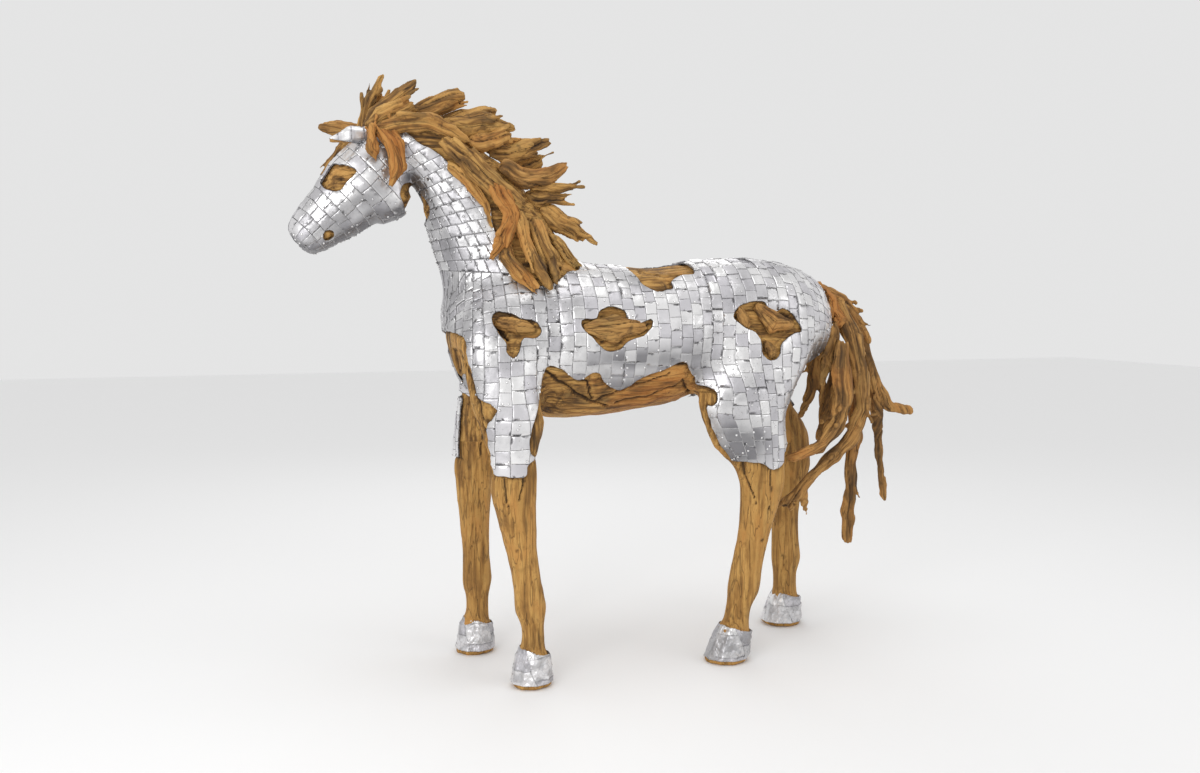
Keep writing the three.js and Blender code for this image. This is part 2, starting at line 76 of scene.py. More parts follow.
camera = placed("camera", bpy.data.cameras.new("camera"))
camera.location = studio["cameraAt"]
camera.rotation_euler = Euler([math.radians(a) for a in studio["cameraTurn"]])
camera.data.lens = studio["lens"]
bpy.context.scene.camera = camera

for name, (place, aim, size, power) in softBoxes.items():
    lamp = bpy.data.lights.new(name, "AREA")
    lamp.shape = "RECTANGLE"
    lamp.size, lamp.size_y = size
    lamp.energy = power
    box = placed(name, lamp)
    box.location = place
    box.rotation_euler = (Vector(aim) - Vector(place)).to_track_quat("-Z", "Y").to_euler()

world = bpy.data.worlds.new("studio")
world.use_nodes = True
background = world.node_tree.nodes["Background"].inputs
background["Color"].default_value = studio["worldColour"]
background["Strength"].default_value = studio["worldStrength"]
bpy.context.scene.world = world
bpy.context.scene.view_settings.view_transform = "Standard"


# shader maths: a socket that adds, multiplies and blends by making nodes

class Wire:
    def __init__(self, tree, socket=None):
        self.tree = tree
        self.socket = socket

    def add(self, kind, settings, sockets, output=0):
        made = self.tree.nodes.new(kind)
        for key, value in settings.items():
            if key == "stops":
                ramp = made.color_ramp
                while len(ramp.elements) < len(value):
                    ramp.elements.new(0.5)
                for element, (place, colour) in zip(ramp.elements, value):
                    element.position = place
                    element.color = colour
            else:
                setattr(made, key, value)
        for key, value in sockets.items():
            if isinstance(value, Wire):
                self.tree.links.new(value.socket, made.inputs[key])
            else:
                made.inputs[key].default_value = value
        return Wire(self.tree, made.outputs[output])

    def sum(self, operation, first, second):
        return self.add("ShaderNodeMath", {"operation": operation}, {0: first, 1: second})

    def __add__(self, other):
        return self.sum("ADD", self, other)

    def __radd__(self, other):
        return self.sum("ADD", other, self)

    def __sub__(self, other):
        return self.sum("SUBTRACT", self, other)

    def __rsub__(self, other):
        return self.sum("SUBTRACT", other, self)

    def __mul__(self, other):
        return self.sum("MULTIPLY", self, other)

    def __rmul__(self, other):
        return self.sum("MULTIPLY", other, self)

    def __abs__(self):
        return self.add("ShaderNodeMath", {"operation": "ABSOLUTE"}, {0: self})

    def between(self, low, high):  # 0 at low, 1 at high, clamped
        return self.add("ShaderNodeMapRange", {}, {"Value": self, "From Min": low, "From Max": high})

    def blend(self, colour, other):  # colour where this is 0, other where it is 1
        return self.add("ShaderNodeMix", {"data_type": "RGBA"}, {0: self, 6: colour, 7: other}, 2)


def finish(name):
    material = bpy.data.materials.new(name)
    material.use_nodes = True
    shader = material.node_tree.nodes["Principled BSDF"]
    return material, shader, Wire(material.node_tree)


def connect(shader, wires):
    for name, wire in wires.items():
        wire.tree.links.new(wire.socket, shader.inputs[name])


def colourOf(red, green, blue):  # a colour read as it looks on screen, 0 to 255
    def linear(value):
        value /= 255
        return value / 12.92 if value <= 0.04045 else ((value + 0.055) / 1.055) ** 2.4
    return (linear(red), linear(green), linear(blue), 1)


def attribute(tree, name, vector=False):
    return tree.add("ShaderNodeAttribute", {"attribute_name": name}, {}, 1 if vector else 2)


def stretched(tree, vector, scale, place=(0, 0, 0)):
    return tree.add("ShaderNodeMapping", {}, {"Vector": vector, "Scale": scale, "Location": place})


def noiseOf(tree, vector, scale, detail=4.0, roughness=0.6, distortion=0.0):
    return tree.add("ShaderNodeTexNoise", {}, {"Vector": vector, "Scale": scale, "Detail": detail,
                                               "Roughness": roughness, "Distortion": distortion})


def bumpOf(tree, height, strength, distance):
    return tree.add("ShaderNodeBump", {}, {"Strength": strength, "Distance": distance, "Height": height})


woods = {  # colours as seen on screen, and how strong the small marks are
    "teak_root": {"light": (204, 160, 92), "middle": (152, 110, 56), "dark": (70, 50, 29),
                  "flecks": 0.5, "stains": 1.0},
    "dark_teak": {"light": (192, 146, 84), "middle": (140, 100, 52), "dark": (62, 45, 27),
                  "flecks": 0.5, "stains": 0.85},
    "pale_teak": {"light": (196, 152, 86), "middle": (168, 124, 64), "dark": (104, 72, 38),
                  "flecks": 0.4, "stains": 0.6},
}
# the hollow tint is painted shade for the hollows and carved gaps
woodTints = {"orange": (168, 98, 36), "olive": (112, 96, 54), "crack": (48, 32, 18), "hollow": (44, 30, 18)}


def woodFinish(name):
    made = woods[name]
    light, middle, dark = (colourOf(*made[key]) for key in ("light", "middle", "dark"))
    tint = {key: colourOf(*colour) for key, colour in woodTints.items()}
    material, shader, tree = finish(name)
    grain, hollow, tone = attribute(tree, "grain", True), attribute(tree, "hollow"), attribute(tree, "tone")
    place = tree.add("ShaderNodeTexCoord", {}, {}, 3)
    streaks = noiseOf(tree, stretched(tree, grain, (5, 70, 70)), 1, 5, 0.62, 0.6)
    bands = noiseOf(tree, stretched(tree, grain, (3, 17, 17)), 1, 3, 0.55, 1.2)
    blotches = noiseOf(tree, place, 9, 3, 0.6)
    fibres = noiseOf(tree, stretched(tree, grain, (30, 420, 420)), 1, 3, 0.7)
    cracks = noiseOf(tree, stretched(tree, grain, (4, 48, 48), (3, 1, 2)), 1, 2, 0.5, 0.4)
    crack = 1 - abs(cracks - 0.5).between(0.0, 0.022)
    patch = noiseOf(tree, place, 22, 4, 0.65, 0.8)
    fleck = noiseOf(tree, stretched(tree, grain, (60, 210, 210)), 1, 2, 0.7)
    value = streaks * 0.42 + bands * 0.34 + blotches * 0.24
    colour = value.between(0.47, 0.57).blend(middle, light)
    layers = [  # where each colour goes over the last one
        (value.between(0.50, 0.40) * made["stains"], dark),
        (patch.between(0.55, 0.70) * 0.75 * made["stains"], dark),
        ((blotches * 0.5 + bands * 0.5 + tone * 0.25).between(0.52, 0.72) * 0.6, tint["orange"]),
        ((blotches * 0.6 + streaks * 0.4 - tone * 0.25).between(0.56, 0.74) * 0.5, tint["olive"]),
        (fleck.between(0.60, 0.72) * made["flecks"], dark),
        (crack * 0.55, tint["crack"]),
        # painted shade in the hollows and carved gaps, and a painted highlight on the rises
        (hollow.between(0.05, 1.1) * 0.85, tint["hollow"]),
        ((0 - hollow).between(0.1, 0.9) * 0.28, light),
    ]
    for share, other in layers:
        colour = share.blend(colour, other)
    bump = bumpOf(tree, streaks * 0.45 + fibres * 0.2 + bands * 0.4 - crack * 0.5, 0.75, 0.004)
    connect(shader, {"Base Color": colour, "Roughness": 0.62 + fibres * 0.2, "Normal": bump})
    shader.inputs["Specular IOR Level"].default_value = 0.3
    return material


# the under tint is painted shade, for plates that face down and for the shade zones; the pale seam tint is a
# painted highlight along the seams in that shade
steelTints = {
    "bright": (243, 242, 242), "lilac": (211, 209, 213), "grey": (162, 161, 163), "under": (116, 115, 118),
    "stain": (206, 192, 150), "speck": (104, 102, 102), "seam": (70, 68, 70), "paintedSeamHighlight": (206, 205, 205),
}


def steelFinish(name):
    tint = {key: colourOf(*colour) for key, colour in steelTints.items()}
    material, shader, tree = finish(name)
    plate, seam, under = (attribute(tree, key) for key in ("plate", "seam", "under"))
    place = tree.add("ShaderNodeTexCoord", {}, {}, 3)
    clouds = noiseOf(tree, place, 7, 4, 0.6)
    broad = noiseOf(tree, place, 2.6, 3, 0.5)
    dents = noiseOf(tree, place, 55, 2, 0.5)
    scratches = noiseOf(tree, stretched(tree, place, (220, 900, 260)), 1, 2, 0.6)
    grime = noiseOf(tree, place, 160, 3, 0.7)
    stain = noiseOf(tree, place, 3.1, 3, 0.65)
    colour = plate.between(0.25, 0.9).blend(tint["bright"], tint["lilac"])
    layers = [  # where each colour goes over the last one
        ((clouds * 0.5 + broad * 0.5).between(0.48, 0.60) * 0.65, tint["grey"]),
        # painted shade on plates that face down and in the shade zones
        (under * 0.85, tint["under"]),
        (stain.between(0.66, 0.78) * 0.3, tint["stain"]),
        (grime.between(0.60, 0.70) * broad.between(0.4, 0.6) * 0.6, tint["speck"]),
        # the seams: dark joints, with a painted highlight along them where the painted shade is strong
        (seam.between(0.1, 0.75) * (0.45 + grime.between(0.35, 0.6) * 0.5),
         under.between(0.35, 0.7).blend(tint["seam"], tint["paintedSeamHighlight"])),
    ]
    for share, other in layers:
        colour = share.blend(colour, other)
    bump = bumpOf(tree, dents * 0.5 + scratches * 0.06 + clouds * 0.5, 0.5, 0.003)
    rough = 0.26 + clouds * 0.14 + plate * 0.1 + seam * 0.3
    connect(shader, {"Base Color": colour, "Roughness": rough, "Normal": bump})
    shader.inputs["Metallic"].default_value = 0.92
    return material


finishes = {name: woodFinish(name) for name in woods}
finishes["hammered_steel"] = steelFinish("hammered_steel")


# meshes as arrays of points

def valuesOf(items, key, kind=np.float32, width=1):
    values = np.empty(len(items) * width, kind)
    items.foreach_get(key, values)
    return values if width == 1 else values.reshape(-1, width)


def pointsOf(mesh):
    return valuesOf(mesh.vertices, "co", np.float64, 3)


def normalsOf(mesh):
    return valuesOf(mesh.vertex_normals, "vector", np.float32, 3)


def edgesOf(mesh):
    return valuesOf(mesh.edges, "vertices", np.int32, 2)


def putPoints(mesh, points):
    mesh.vertices.foreach_set("co", points.ravel())
    mesh.update()


def mark(mesh, **marks):  # one attribute on the points for each mark
    for name, values in marks.items():
        vector = np.ndim(values) == 2
        made = mesh.attributes.new(name, "FLOAT_VECTOR" if vector else "FLOAT", "POINT")
        values = values if vector else np.broadcast_to(values, len(mesh.vertices))
        flat = np.ascontiguousarray(values, np.float32).ravel()
        made.data.foreach_set("vector" if vector else "value", flat)


def relaxed(points, edges, strength, times):  # each point drawn towards the mean of its neighbours
    size = len(points)
    count = np.maximum(np.bincount(edges.ravel(), minlength=size), 1)
    first, second = edges[:, 0], edges[:, 1]
    strength = np.broadcast_to(strength, size)
    for _ in range(times):
        mean = np.empty_like(points)
        for axis in range(points.shape[1]):
            own = points[:, axis]
            mean[:, axis] = np.bincount(first, own[second], size) + np.bincount(second, own[first], size)
        points = points + strength[:, None] * (mean / count[:, None] - points)
    return points


def softened(mesh, strength, times):  # rounds a mesh off without shrinking it much
    points, edges = pointsOf(mesh), edgesOf(mesh)
    smooth = relaxed(points, edges, strength, times)
    points = smooth + relaxed(points - smooth, edges, strength, times)
    putPoints(mesh, points)
    return points


def noiseAt(points, scale, shift=0.0):
    return np.array([noise.noise(Vector(p)) for p in np.asarray(points) * scale + shift])


def ramp(values, low, high):  # 0 at low, 1 at high, eased
    t = np.clip((values - low) / (high - low), 0, 1)
    return t * t * (3 - 2 * t)


def meshFrom(bm, name):
    mesh = bpy.data.meshes.new(name)
    bm.to_mesh(mesh)
    bm.free()
    return mesh


def opened(mesh):
    bm = bmesh.new()
    bm.from_mesh(mesh)
    return bm


def allOf(bm):
    return bm.verts[:] + bm.edges[:] + bm.faces[:]


def sliced(bm, geometry, place, facing, dist=1e-6, **more):
    made = bmesh.ops.bisect_plane(bm, geom=geometry, dist=dist, plane_co=place, plane_no=facing, **more)
    return made["geom"]


def placesOf(bm):
    return np.array([v.co for v in bm.verts])


def treeOf(mesh):  # for the nearest place on a mesh
    return BVHTree.FromPolygons([v.co for v in mesh.vertices], [p.vertices[:] for p in mesh.polygons])


def withEdges(faces):  # the faces with their edges and vertices
    return [*{v for f in faces for v in f.verts}, *{e for f in faces for e in f.edges}, *faces]


def dropped(bm, elements, kind="VERTS"):
    bmesh.ops.delete(bm, geom=elements, context=kind)


def solidsOf(names):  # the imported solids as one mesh, with their loose triangles joined
    bm = bmesh.new()
    for name in names:
        bm.from_mesh(nodes[name].data)
    bmesh.ops.remove_doubles(bm, verts=bm.verts, dist=1e-5)
    return meshFrom(bm, names[0])


def largestShell(bm):  # leaves only the shell with the most vertices
    left = set(bm.verts)
    best = []
    while left:
        start = left.pop()
        shell, edge = [start], [start]
        while edge:
            vertex = edge.pop()
            for link in vertex.link_edges:
                other = link.other_vert(vertex)
                if other in left:
                    left.discard(other)
                    shell.append(other)
                    edge.append(other)
        if len(shell) > len(best):
            best = shell
    keep = set(best)
    dropped(bm, [v for v in bm.verts if v not in keep])


def remeshed(mesh, voxel):
    helper = placed("remesh", mesh)
    modifier = helper.modifiers.new("remesh", "REMESH")
    modifier.mode = "VOXEL"
    modifier.voxel_size = voxel
    bm = bmesh.new()
    bm.from_object(helper, bpy.context.evaluated_depsgraph_get())
    bpy.data.objects.remove(helper)
    largestShell(bm)
    return meshFrom(bm, "remeshed")


def pieceFrom(mesh, name, material, replaced):
    for polygon in mesh.polygons:
        polygon.use_smooth = True
    mesh.materials.clear()
    mesh.materials.append(finishes[material])
    piece = placed(name, mesh)
    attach(piece, "root")
    if replaced:
        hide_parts(*replaced)
    triangles = sum(len(polygon.vertices) - 2 for polygon in mesh.polygons)
    print(name, triangles, "triangles", flush=True)
    return piece


shadow = {"passes": 6, "depth": 0.0028, "most": 1.5}  # how the hollows of the wood are found, for painted shade in them and a painted highlight on the rises


def markWood(mesh, grain, tone, deep=0.0):
    points, edges = pointsOf(mesh), edgesOf(mesh)
    lift = relaxed(points, edges, 0.5, shadow["passes"]) - points
    # painted shade: hollows and the given depth darken, rises lighten as a painted highlight
    hollow = (lift * normalsOf(mesh)).sum(axis=1) / shadow["depth"] + deep
    mark(mesh, hollow=np.clip(hollow, -shadow["most"], shadow["most"]), grain=grain, tone=tone)


# the rounded horse, which the plates and the wood are both made on

form = {
    "voxel": 0.0096,
    "bodyRounding": 130,  # passes of smoothing
    "limbShare": 0.12,  # how much of it the legs get
    "headShare": 0.10,  # and the head
}
swells = {  # muscles: centre, half sizes, height
    "shoulder": ((-0.45, 0.19, 1.09), (0.13, 0.12, 0.17), 0.010),
    "girthGroove": ((-0.318, 0.21, 1.05), (0.035, 0.14, 0.19), -0.011),
    "ribs": ((-0.10, 0.22, 1.06), (0.20, 0.10, 0.12), 0.004),
    "flankHollow": ((0.215, 0.21, 1.02), (0.06, 0.10, 0.14), -0.012),
    "haunch": ((0.38, 0.20, 1.08), (0.15, 0.12, 0.16), 0.008),
    "cheek": ((-0.805, 0.08, 1.50), (0.07, 0.05, 0.07), 0.006),
    "cheekEdge": ((-0.885, 0.07, 1.45), (0.03, 0.05, 0.05), -0.005),
    "browLid": ((-0.93, 0.085, 1.590), (0.055, 0.04, 0.014), 0.007),
    "nostril": ((-1.02, 0.045, 1.395), (0.022, 0.03, 0.02), 0.004),
}


def horseForm():
    solids = solidsOf(["wood_body", *bellyNames, *[f"{name}_leg" for name in legNames]])
    mesh = remeshed(solids, form["voxel"])
    points = pointsOf(mesh)
    limb = ramp(-points[:, 2], -0.96, -0.80)
    head = ramp(-points[:, 0], 0.50, 0.70) * ramp(points[:, 2], 1.2, 1.35)
    share = np.minimum(1 - limb * (1 - form["limbShare"]), 1 - head * (1 - form["headShare"]))
    points = softened(mesh, 0.5 * share, form["bodyRounding"])
    push = np.zeros(len(points))
    sides = np.abs(points * (0, 1, 0)) + points * (1, 0, 1)
    for centre, halves, height in swells.values():
        far = (((sides - centre) / halves) ** 2).sum(axis=1)
        push += height * np.exp(-far * 1.2)
    push += 0.0012 * noiseAt(points, 9) + 0.0010 * noiseAt(points, 24)
    putPoints(mesh, points + normalsOf(mesh) * push[:, None])
    return mesh


horse = horseForm()
print("rounded horse", len(horse.vertices), "points", flush=True)


# where the steel ends: outlines seen from the side, closed round the wood that stays bare

bareWood = {
    "shoulder": [(-0.51, 1.125), (-0.5, 1.147), (-0.47, 1.148), (-0.44, 1.142), (-0.418, 1.127),
        (-0.385, 1.125), (-0.36, 1.092), (-0.385, 1.07), (-0.42, 1.068), (-0.437, 1.026), (-0.453, 1.014),
        (-0.472, 1.026), (-0.474, 1.06), (-0.495, 1.088)],
    "flank": [(-0.238, 1.105), (-0.23, 1.126), (-0.19, 1.128), (-0.178, 1.148), (-0.152, 1.162),
        (-0.118, 1.16), (-0.095, 1.146), (-0.085, 1.118), (-0.055, 1.11), (-0.008, 1.126), (-0.032, 1.082),
        (-0.085, 1.064), (-0.12, 1.032), (-0.162, 1.03), (-0.2, 1.066)],
    "hip": [(0.268, 1.13), (0.296, 1.168), (0.355, 1.182), (0.385, 1.172), (0.398, 1.154), (0.422, 1.146),
        (0.45, 1.157), (0.478, 1.14), (0.498, 1.118), (0.515, 1.084), (0.48, 1.075), (0.448, 1.058),
        (0.428, 1.038), (0.424, 1.012), (0.404, 0.994), (0.38, 0.994), (0.36, 1.016), (0.358, 1.042),
        (0.344, 1.078), (0.304, 1.098)],
    "back": [(-0.035, 1.34), (-0.025, 1.245), (0.015, 1.212), (0.076, 1.218), (0.084, 1.242),
        (0.125, 1.262), (0.176, 1.272), (0.146, 1.34)],
    "stifle": [(0.1, 0.968), (0.15, 0.94), (0.162, 0.918), (0.208, 0.9), (0.216, 0.866), (0.204, 0.85),
        (0.19, 0.835), (0.236, 0.722), (0.285, 0.64), (0.06, 0.64), (0.06, 0.96)],
    "brow": [(-0.985, 1.552), (-0.975, 1.59), (-0.896, 1.572), (-0.884, 1.558), (-0.908, 1.536),
        (-0.932, 1.504), (-0.975, 1.512)],
    "throat": [(-0.757, 1.5), (-0.742, 1.532), (-0.715, 1.538), (-0.688, 1.508), (-0.664, 1.458),
        (-0.682, 1.406), (-0.73, 1.44)],
    "belly": [(-0.372, 0.7), (-0.372, 0.884), (-0.35, 0.968), (-0.334, 0.986), (-0.295, 0.974),
        (-0.24, 0.94), (-0.202, 0.964), (-0.178, 0.958), (-0.16, 0.934), (-0.1, 0.906), (-0.04, 0.944),
        (0.035, 0.968), (0.066, 0.984), (0.11, 0.986), (0.15, 0.9), (0.15, 0.7)],
    "chest": [(-0.8, 1.092), (-0.604, 1.086), (-0.582, 1.01), (-0.566, 0.935), (-0.554, 0.895),
        (-0.526, 0.866), (-0.8, 0.862)],
    "chestLow": [(-0.8, 0.872), (-0.526, 0.872), (-0.521, 0.83), (-0.531, 0.8), (-0.526, 0.56),
        (-0.8, 0.56)],
    "crest": [(-0.862, 1.672), (-0.8, 1.668), (-0.752, 1.69), (-0.7, 1.652), (-0.644, 1.622),
        (-0.567, 1.548), (-0.5, 1.482), (-0.484, 1.405), (-0.446, 1.33), (-0.352, 1.226), (-0.255, 1.268),
        (-0.195, 1.33), (-0.195, 1.8), (-0.862, 1.8)],
    "frontHem": [(-0.64, 0.56), (-0.64, 0.662), (-0.512, 0.664), (-0.424, 0.656), (-0.408, 0.7),
        (-0.3, 0.706), (-0.3, 0.56)],
    "leftHindHem": [(0.15, 0.56), (0.15, 0.664), (0.345, 0.662), (0.372, 0.658), (0.394, 0.64),
        (0.42, 0.636), (0.452, 0.656), (0.474, 0.706), (0.64, 0.706), (0.64, 0.56)],
    "rightHindHem": [(0.36, 0.56), (0.36, 0.79), (0.52, 0.79), (0.6, 0.77), (0.7, 0.8), (0.86, 0.8),
        (0.86, 0.56)],
}
sideLimits = {"left": (-1, -0.02), "right": (0.02, 1), "both": (-1, 1), "overBack": (-1, 0.04),
              "leftLeg": (-1, 0), "rightLeg": (0, 1), "insideFarLeg": (-1, 0.152)}
bareSides = {  # which sides each outline is open on
    "shoulder": ["left"], "flank": ["left", "right"], "hip": ["left", "right"], "brow": ["left", "right"],
    "back": ["overBack"], "stifle": ["both"], "throat": ["both"], "belly": ["both"], "chest": ["both"],
    "chestLow": ["insideFarLeg"], "crest": ["both"], "frontHem": ["both"], "leftHindHem": ["leftLeg"],
    "rightHindHem": ["rightLeg"],
}
rightShifts = {"flank": (0.07, 0.01), "hip": (-0.03, 0.005)}  # along X and Z
bareBoxes = [  # inner sides of the legs, the rump under the tail, and below the hems
    ((-1.6, -0.145, 0), (1.6, 0.158, 0.862)),
    ((0.52, -0.08, 0), (1.6, 0.08, 1.228)),
    ((-1.6, -1, -1), (1.6, 1, 0.6)),
    ((0.3, 0, -1), (1.6, 1, 0.7)),
]
boxCorner = 0.04  # how round the edges of those boxes are
mouthPlug = {"x": -0.966, "z": 1.376, "radius": 0.016}


def rounded(outline, steps=5):  # a closed curve through the points of an outline
    corners = np.array(outline)
    before, after = np.roll(corners, 1, 0), np.roll(corners, -1, 0)
    last = np.roll(corners, -2, 0)
    t = np.arange(steps)[None, :, None] / steps
    a, b, c, d = (corner[:, None, :] for corner in (before, corners, after, last))
    curve = 0.5 * (2 * b + (c - a) * t + (2 * a - 5 * b + 4 * c - d) * t ** 2
                   + (3 * b - a - 3 * c + d) * t ** 3)
    return curve.reshape(-1, 2)


def fromOutline(flat, curve):  # distance to a closed curve, negative inside it
    start, end = curve, np.roll(curve, -1, 0)
    run = end - start
    away = flat[:, None, :] - start[None]
    t = np.clip((away * run).sum(2) / np.maximum((run ** 2).sum(1), 1e-12), 0, 1)
    gap = np.sqrt(((away - t[..., None] * run) ** 2).sum(2)).min(1)
    x, z = flat[:, 0, None], flat[:, 1, None]
    crosses = (start[:, 1] > z) != (end[:, 1] > z)
    rise = np.where(np.abs(run[:, 1]) < 1e-9, 1e-9, run[:, 1])
    inside = (crosses & (x < start[:, 0] + (z - start[:, 1]) * run[:, 0] / rise)).sum(1) % 2 == 1
    return np.where(inside, -gap, gap)


def fromSteel(points, wobble=0.0035):  # negative where the wood is bare, positive under steel
    flat = points[:, [0, 2]].copy()
    if wobble:
        flat[:, 0] += wobble * (noiseAt(points, 38, 5) + 0.4 * noiseAt(points, 110, 9))
        flat[:, 1] += wobble * (noiseAt(points, 38, 15) + 0.4 * noiseAt(points, 110, 19))
    far = np.full(len(points), 9.0)
    y = points[:, 1]
    for name, side in ((name, side) for name, sides in bareSides.items() for side in sides):
        low, high = sideLimits[side]
        shift = rightShifts.get(name, (0, 0)) if side == "right" else (0, 0)
        curve = rounded([(x + shift[0], z + shift[1]) for x, z in bareWood[name]])
        near = (flat[:, 0] > curve[:, 0].min() - 0.05) & (flat[:, 0] < curve[:, 0].max() + 0.05)
        near &= (flat[:, 1] > curve[:, 1].min() - 0.05) & (flat[:, 1] < curve[:, 1].max() + 0.05)
        near &= (y > low - 0.05) & (y < high + 0.05)
        if near.any():
            gap = fromOutline(flat[near], curve)
            gap = np.maximum(gap, np.maximum(low - y[near], y[near] - high))
            far[near] = np.minimum(far[near], gap)
    for low, high in bareBoxes:
        gap = np.maximum(np.array(low) - points, points - np.array(high)) + boxCorner
        gap = np.linalg.norm(np.maximum(gap, 0), axis=1) + np.minimum(gap.max(1), 0) - boxCorner
        far = np.minimum(far, gap)
    plug = np.hypot(flat[:, 0] - mouthPlug["x"], flat[:, 1] - mouthPlug["z"]) - mouthPlug["radius"]
    return np.minimum(far, plug)


# the steel skin: the horse's surface cut into plates along fields that follow its limbs

skin = {
    "proud": 0.0022,  # the seams stand this far off the wood
    "column": 0.039,
    "brick": 0.044,
    "wobble": 0.0028,
    "bevel": 0.0016,  # width of a plate's rounded edge
    "lift": 0.0011,
    "uneven": 0.0009,
    "tilt": 0.020,  # slope of a plate that doesn't lie quite flat
    "dent": 0.0011,
    "smallest": 0.00022,  # area of the smallest plate of its own
    "rim": 0.005,  # how deep the edge of an opening goes
}
layout = {
    "headSplit": (-0.75, 0, 1.52), "splitLean": 0.32,
    "neckFloor": 1.243, "floorLean": 0.05, "neckRear": -0.33,
    "headFrom": (-0.735, 1.655), "headTo": (-1.049, 1.355), "headRound": 0.085,
    "neckPivot": (-1.31, 1.25), "neckReach": 0.80, "neckTurns": (0, 0.25, 0.55),
    "neckMiddle": (0.83, 0.77, 0.71), "neckRound": (0.185, 0.14, 0.115),
    "rumpStart": 0.42, "rumpFan": 0.30, "rumpRound": 0.222, "backZ": 1.07, "girth": 0.235,
    "lean": 0.34, "leanTop": 0.99, "chestStart": -0.49, "chestFan": 0.12, "rearFrom": -0.1,
    "legHeights": (0.65, 0.90), "legTop": 0.93, "legFull": 0.80,
}
paintedShadeZones = [  # painted shade on the plates: centre and half sizes along X and Z, and how dark
    ((0.285, 0.72), (0.095, 0.075), 1.7), ((-0.02, 1.0), (0.20, 0.04), 1.2),
    ((-0.20, 0.985), (0.08, 0.03), 0.9), ((-0.35, 0.74), (0.05, 0.05), 0.5),
    ((-0.62, 1.32), (0.04, 0.10), 0.45), ((0.0, 1.25), (0.12, 0.05), 0.4),
    ((-0.86, 1.385), (0.12, 0.02), 0.8),
]
legAxes = {  # the middle of each leg: X at the upper and lower height, Y, and its half sizes
    "front": {"x": (-0.466, -0.446), "y": 0.165, "halves": (0.100, 0.068)},
    "hind": {"x": (0.345, 0.398), "y": 0.150, "halves": (0.140, 0.080)},
    "hindRight": {"x": (0.490, 0.660), "y": 0.150, "halves": (0.125, 0.076)},
}


def sideOf(p):
    return np.sign(p[:, 1] + 1e-9)


def headFields(p):
    start, end = np.array(layout["headFrom"]), np.array(layout["headTo"])
    run = (end - start) / np.linalg.norm(end - start)
    flat = p[:, [0, 2]] - start
    along = flat @ run
    over = flat @ np.array([-run[1], run[0]])
    turn = np.arctan2(np.abs(p[:, 1]), -over)
    return along, turn * layout["headRound"] * sideOf(p)


def neckFields(p):
    px, pz = layout["neckPivot"]
    turn = np.arctan2(p[:, 2] - pz, p[:, 0] - px)
    reach = np.hypot(p[:, 2] - pz, p[:, 0] - px)
    middle = np.interp(turn, layout["neckTurns"], layout["neckMiddle"])
    around = np.arctan2(np.abs(p[:, 1]), reach - middle)
    return turn * layout["neckReach"], around * layout["neckRound"][1] * sideOf(p)


def neckNarrowing(u):  # shorter bricks in angle where the neck is thicker
    thickness = np.interp(u / layout["neckReach"], layout["neckTurns"], layout["neckRound"])
    return layout["neckRound"][1] / thickness


def bodyFields(p):
    x, y, z = p[:, 0], np.abs(p[:, 1]), p[:, 2]
    rump, rumpFan = layout["rumpStart"], layout["rumpFan"]
    chest, chestFan = layout["chestStart"], layout["chestFan"]
    behind = (layout["rumpRound"] + rumpFan) * np.arctan2(x - rump, y + rumpFan)
    ahead = (layout["girth"] + chestFan) * np.arctan2(chest - x, y + chestFan)
    u = np.where(x < chest, chest - ahead, np.where(x > rump, rump + behind, x))
    front, rear, left = x < layout["rearFrom"], x > layout["rearFrom"], p[:, 1] < 0
    for name, here in {"front": front, "hind": rear & left, "hindRight": rear & ~left}.items():
        leg = legAxes[name]
        middle = np.interp(z, layout["legHeights"], leg["x"][::-1])
        deep, wide = leg["halves"]
        turn = np.arctan2((x - middle) / deep, (y - leg["y"]) / wide)
        share = ramp(-z, -layout["legTop"], -layout["legFull"]) * here
        u = u * (1 - share) + share * (middle + turn * (deep + wide) * 0.5)
    drop = np.clip(layout["leanTop"] - z, 0, 1)
    thigh = ramp(x, 0.05, 0.15) * (p[:, 1] < 0)
    u = u - drop * layout["lean"] * thigh * (1 - 0.8 * ramp(x, 0.28, 0.48))
    girth, back = layout["girth"], layout["backZ"]
    v = np.where(z > back, girth * np.arctan2(y, z - back), girth * math.pi / 2 + back - z)
    return u, v * sideOf(p)


def laidOut(bm, places):  # the vertices at other places, to be cut there
    home = bm.verts.layers.float_vector.new("home")
    for vertex, place in zip(bm.verts, places):
        vertex[home] = vertex.co.copy()
        vertex.co = place


def foldedBack(bm):
    home = bm.verts.layers.float_vector["home"]
    for vertex in bm.verts:
        vertex.co = vertex[home]
    bm.verts.layers.float_vector.remove(home)


def cuts(low, high, pitch, chance):  # where a run of plates is cut, a little unevenly
    places = [low - pitch * chance.random()]
    while places[-1] < high:
        places.append(places[-1] + pitch * chance.uniform(0.9, 1.1))
    return places


def reachOf(face):
    rows = [vertex.co.y for vertex in face.verts]
    return min(rows), max(rows)


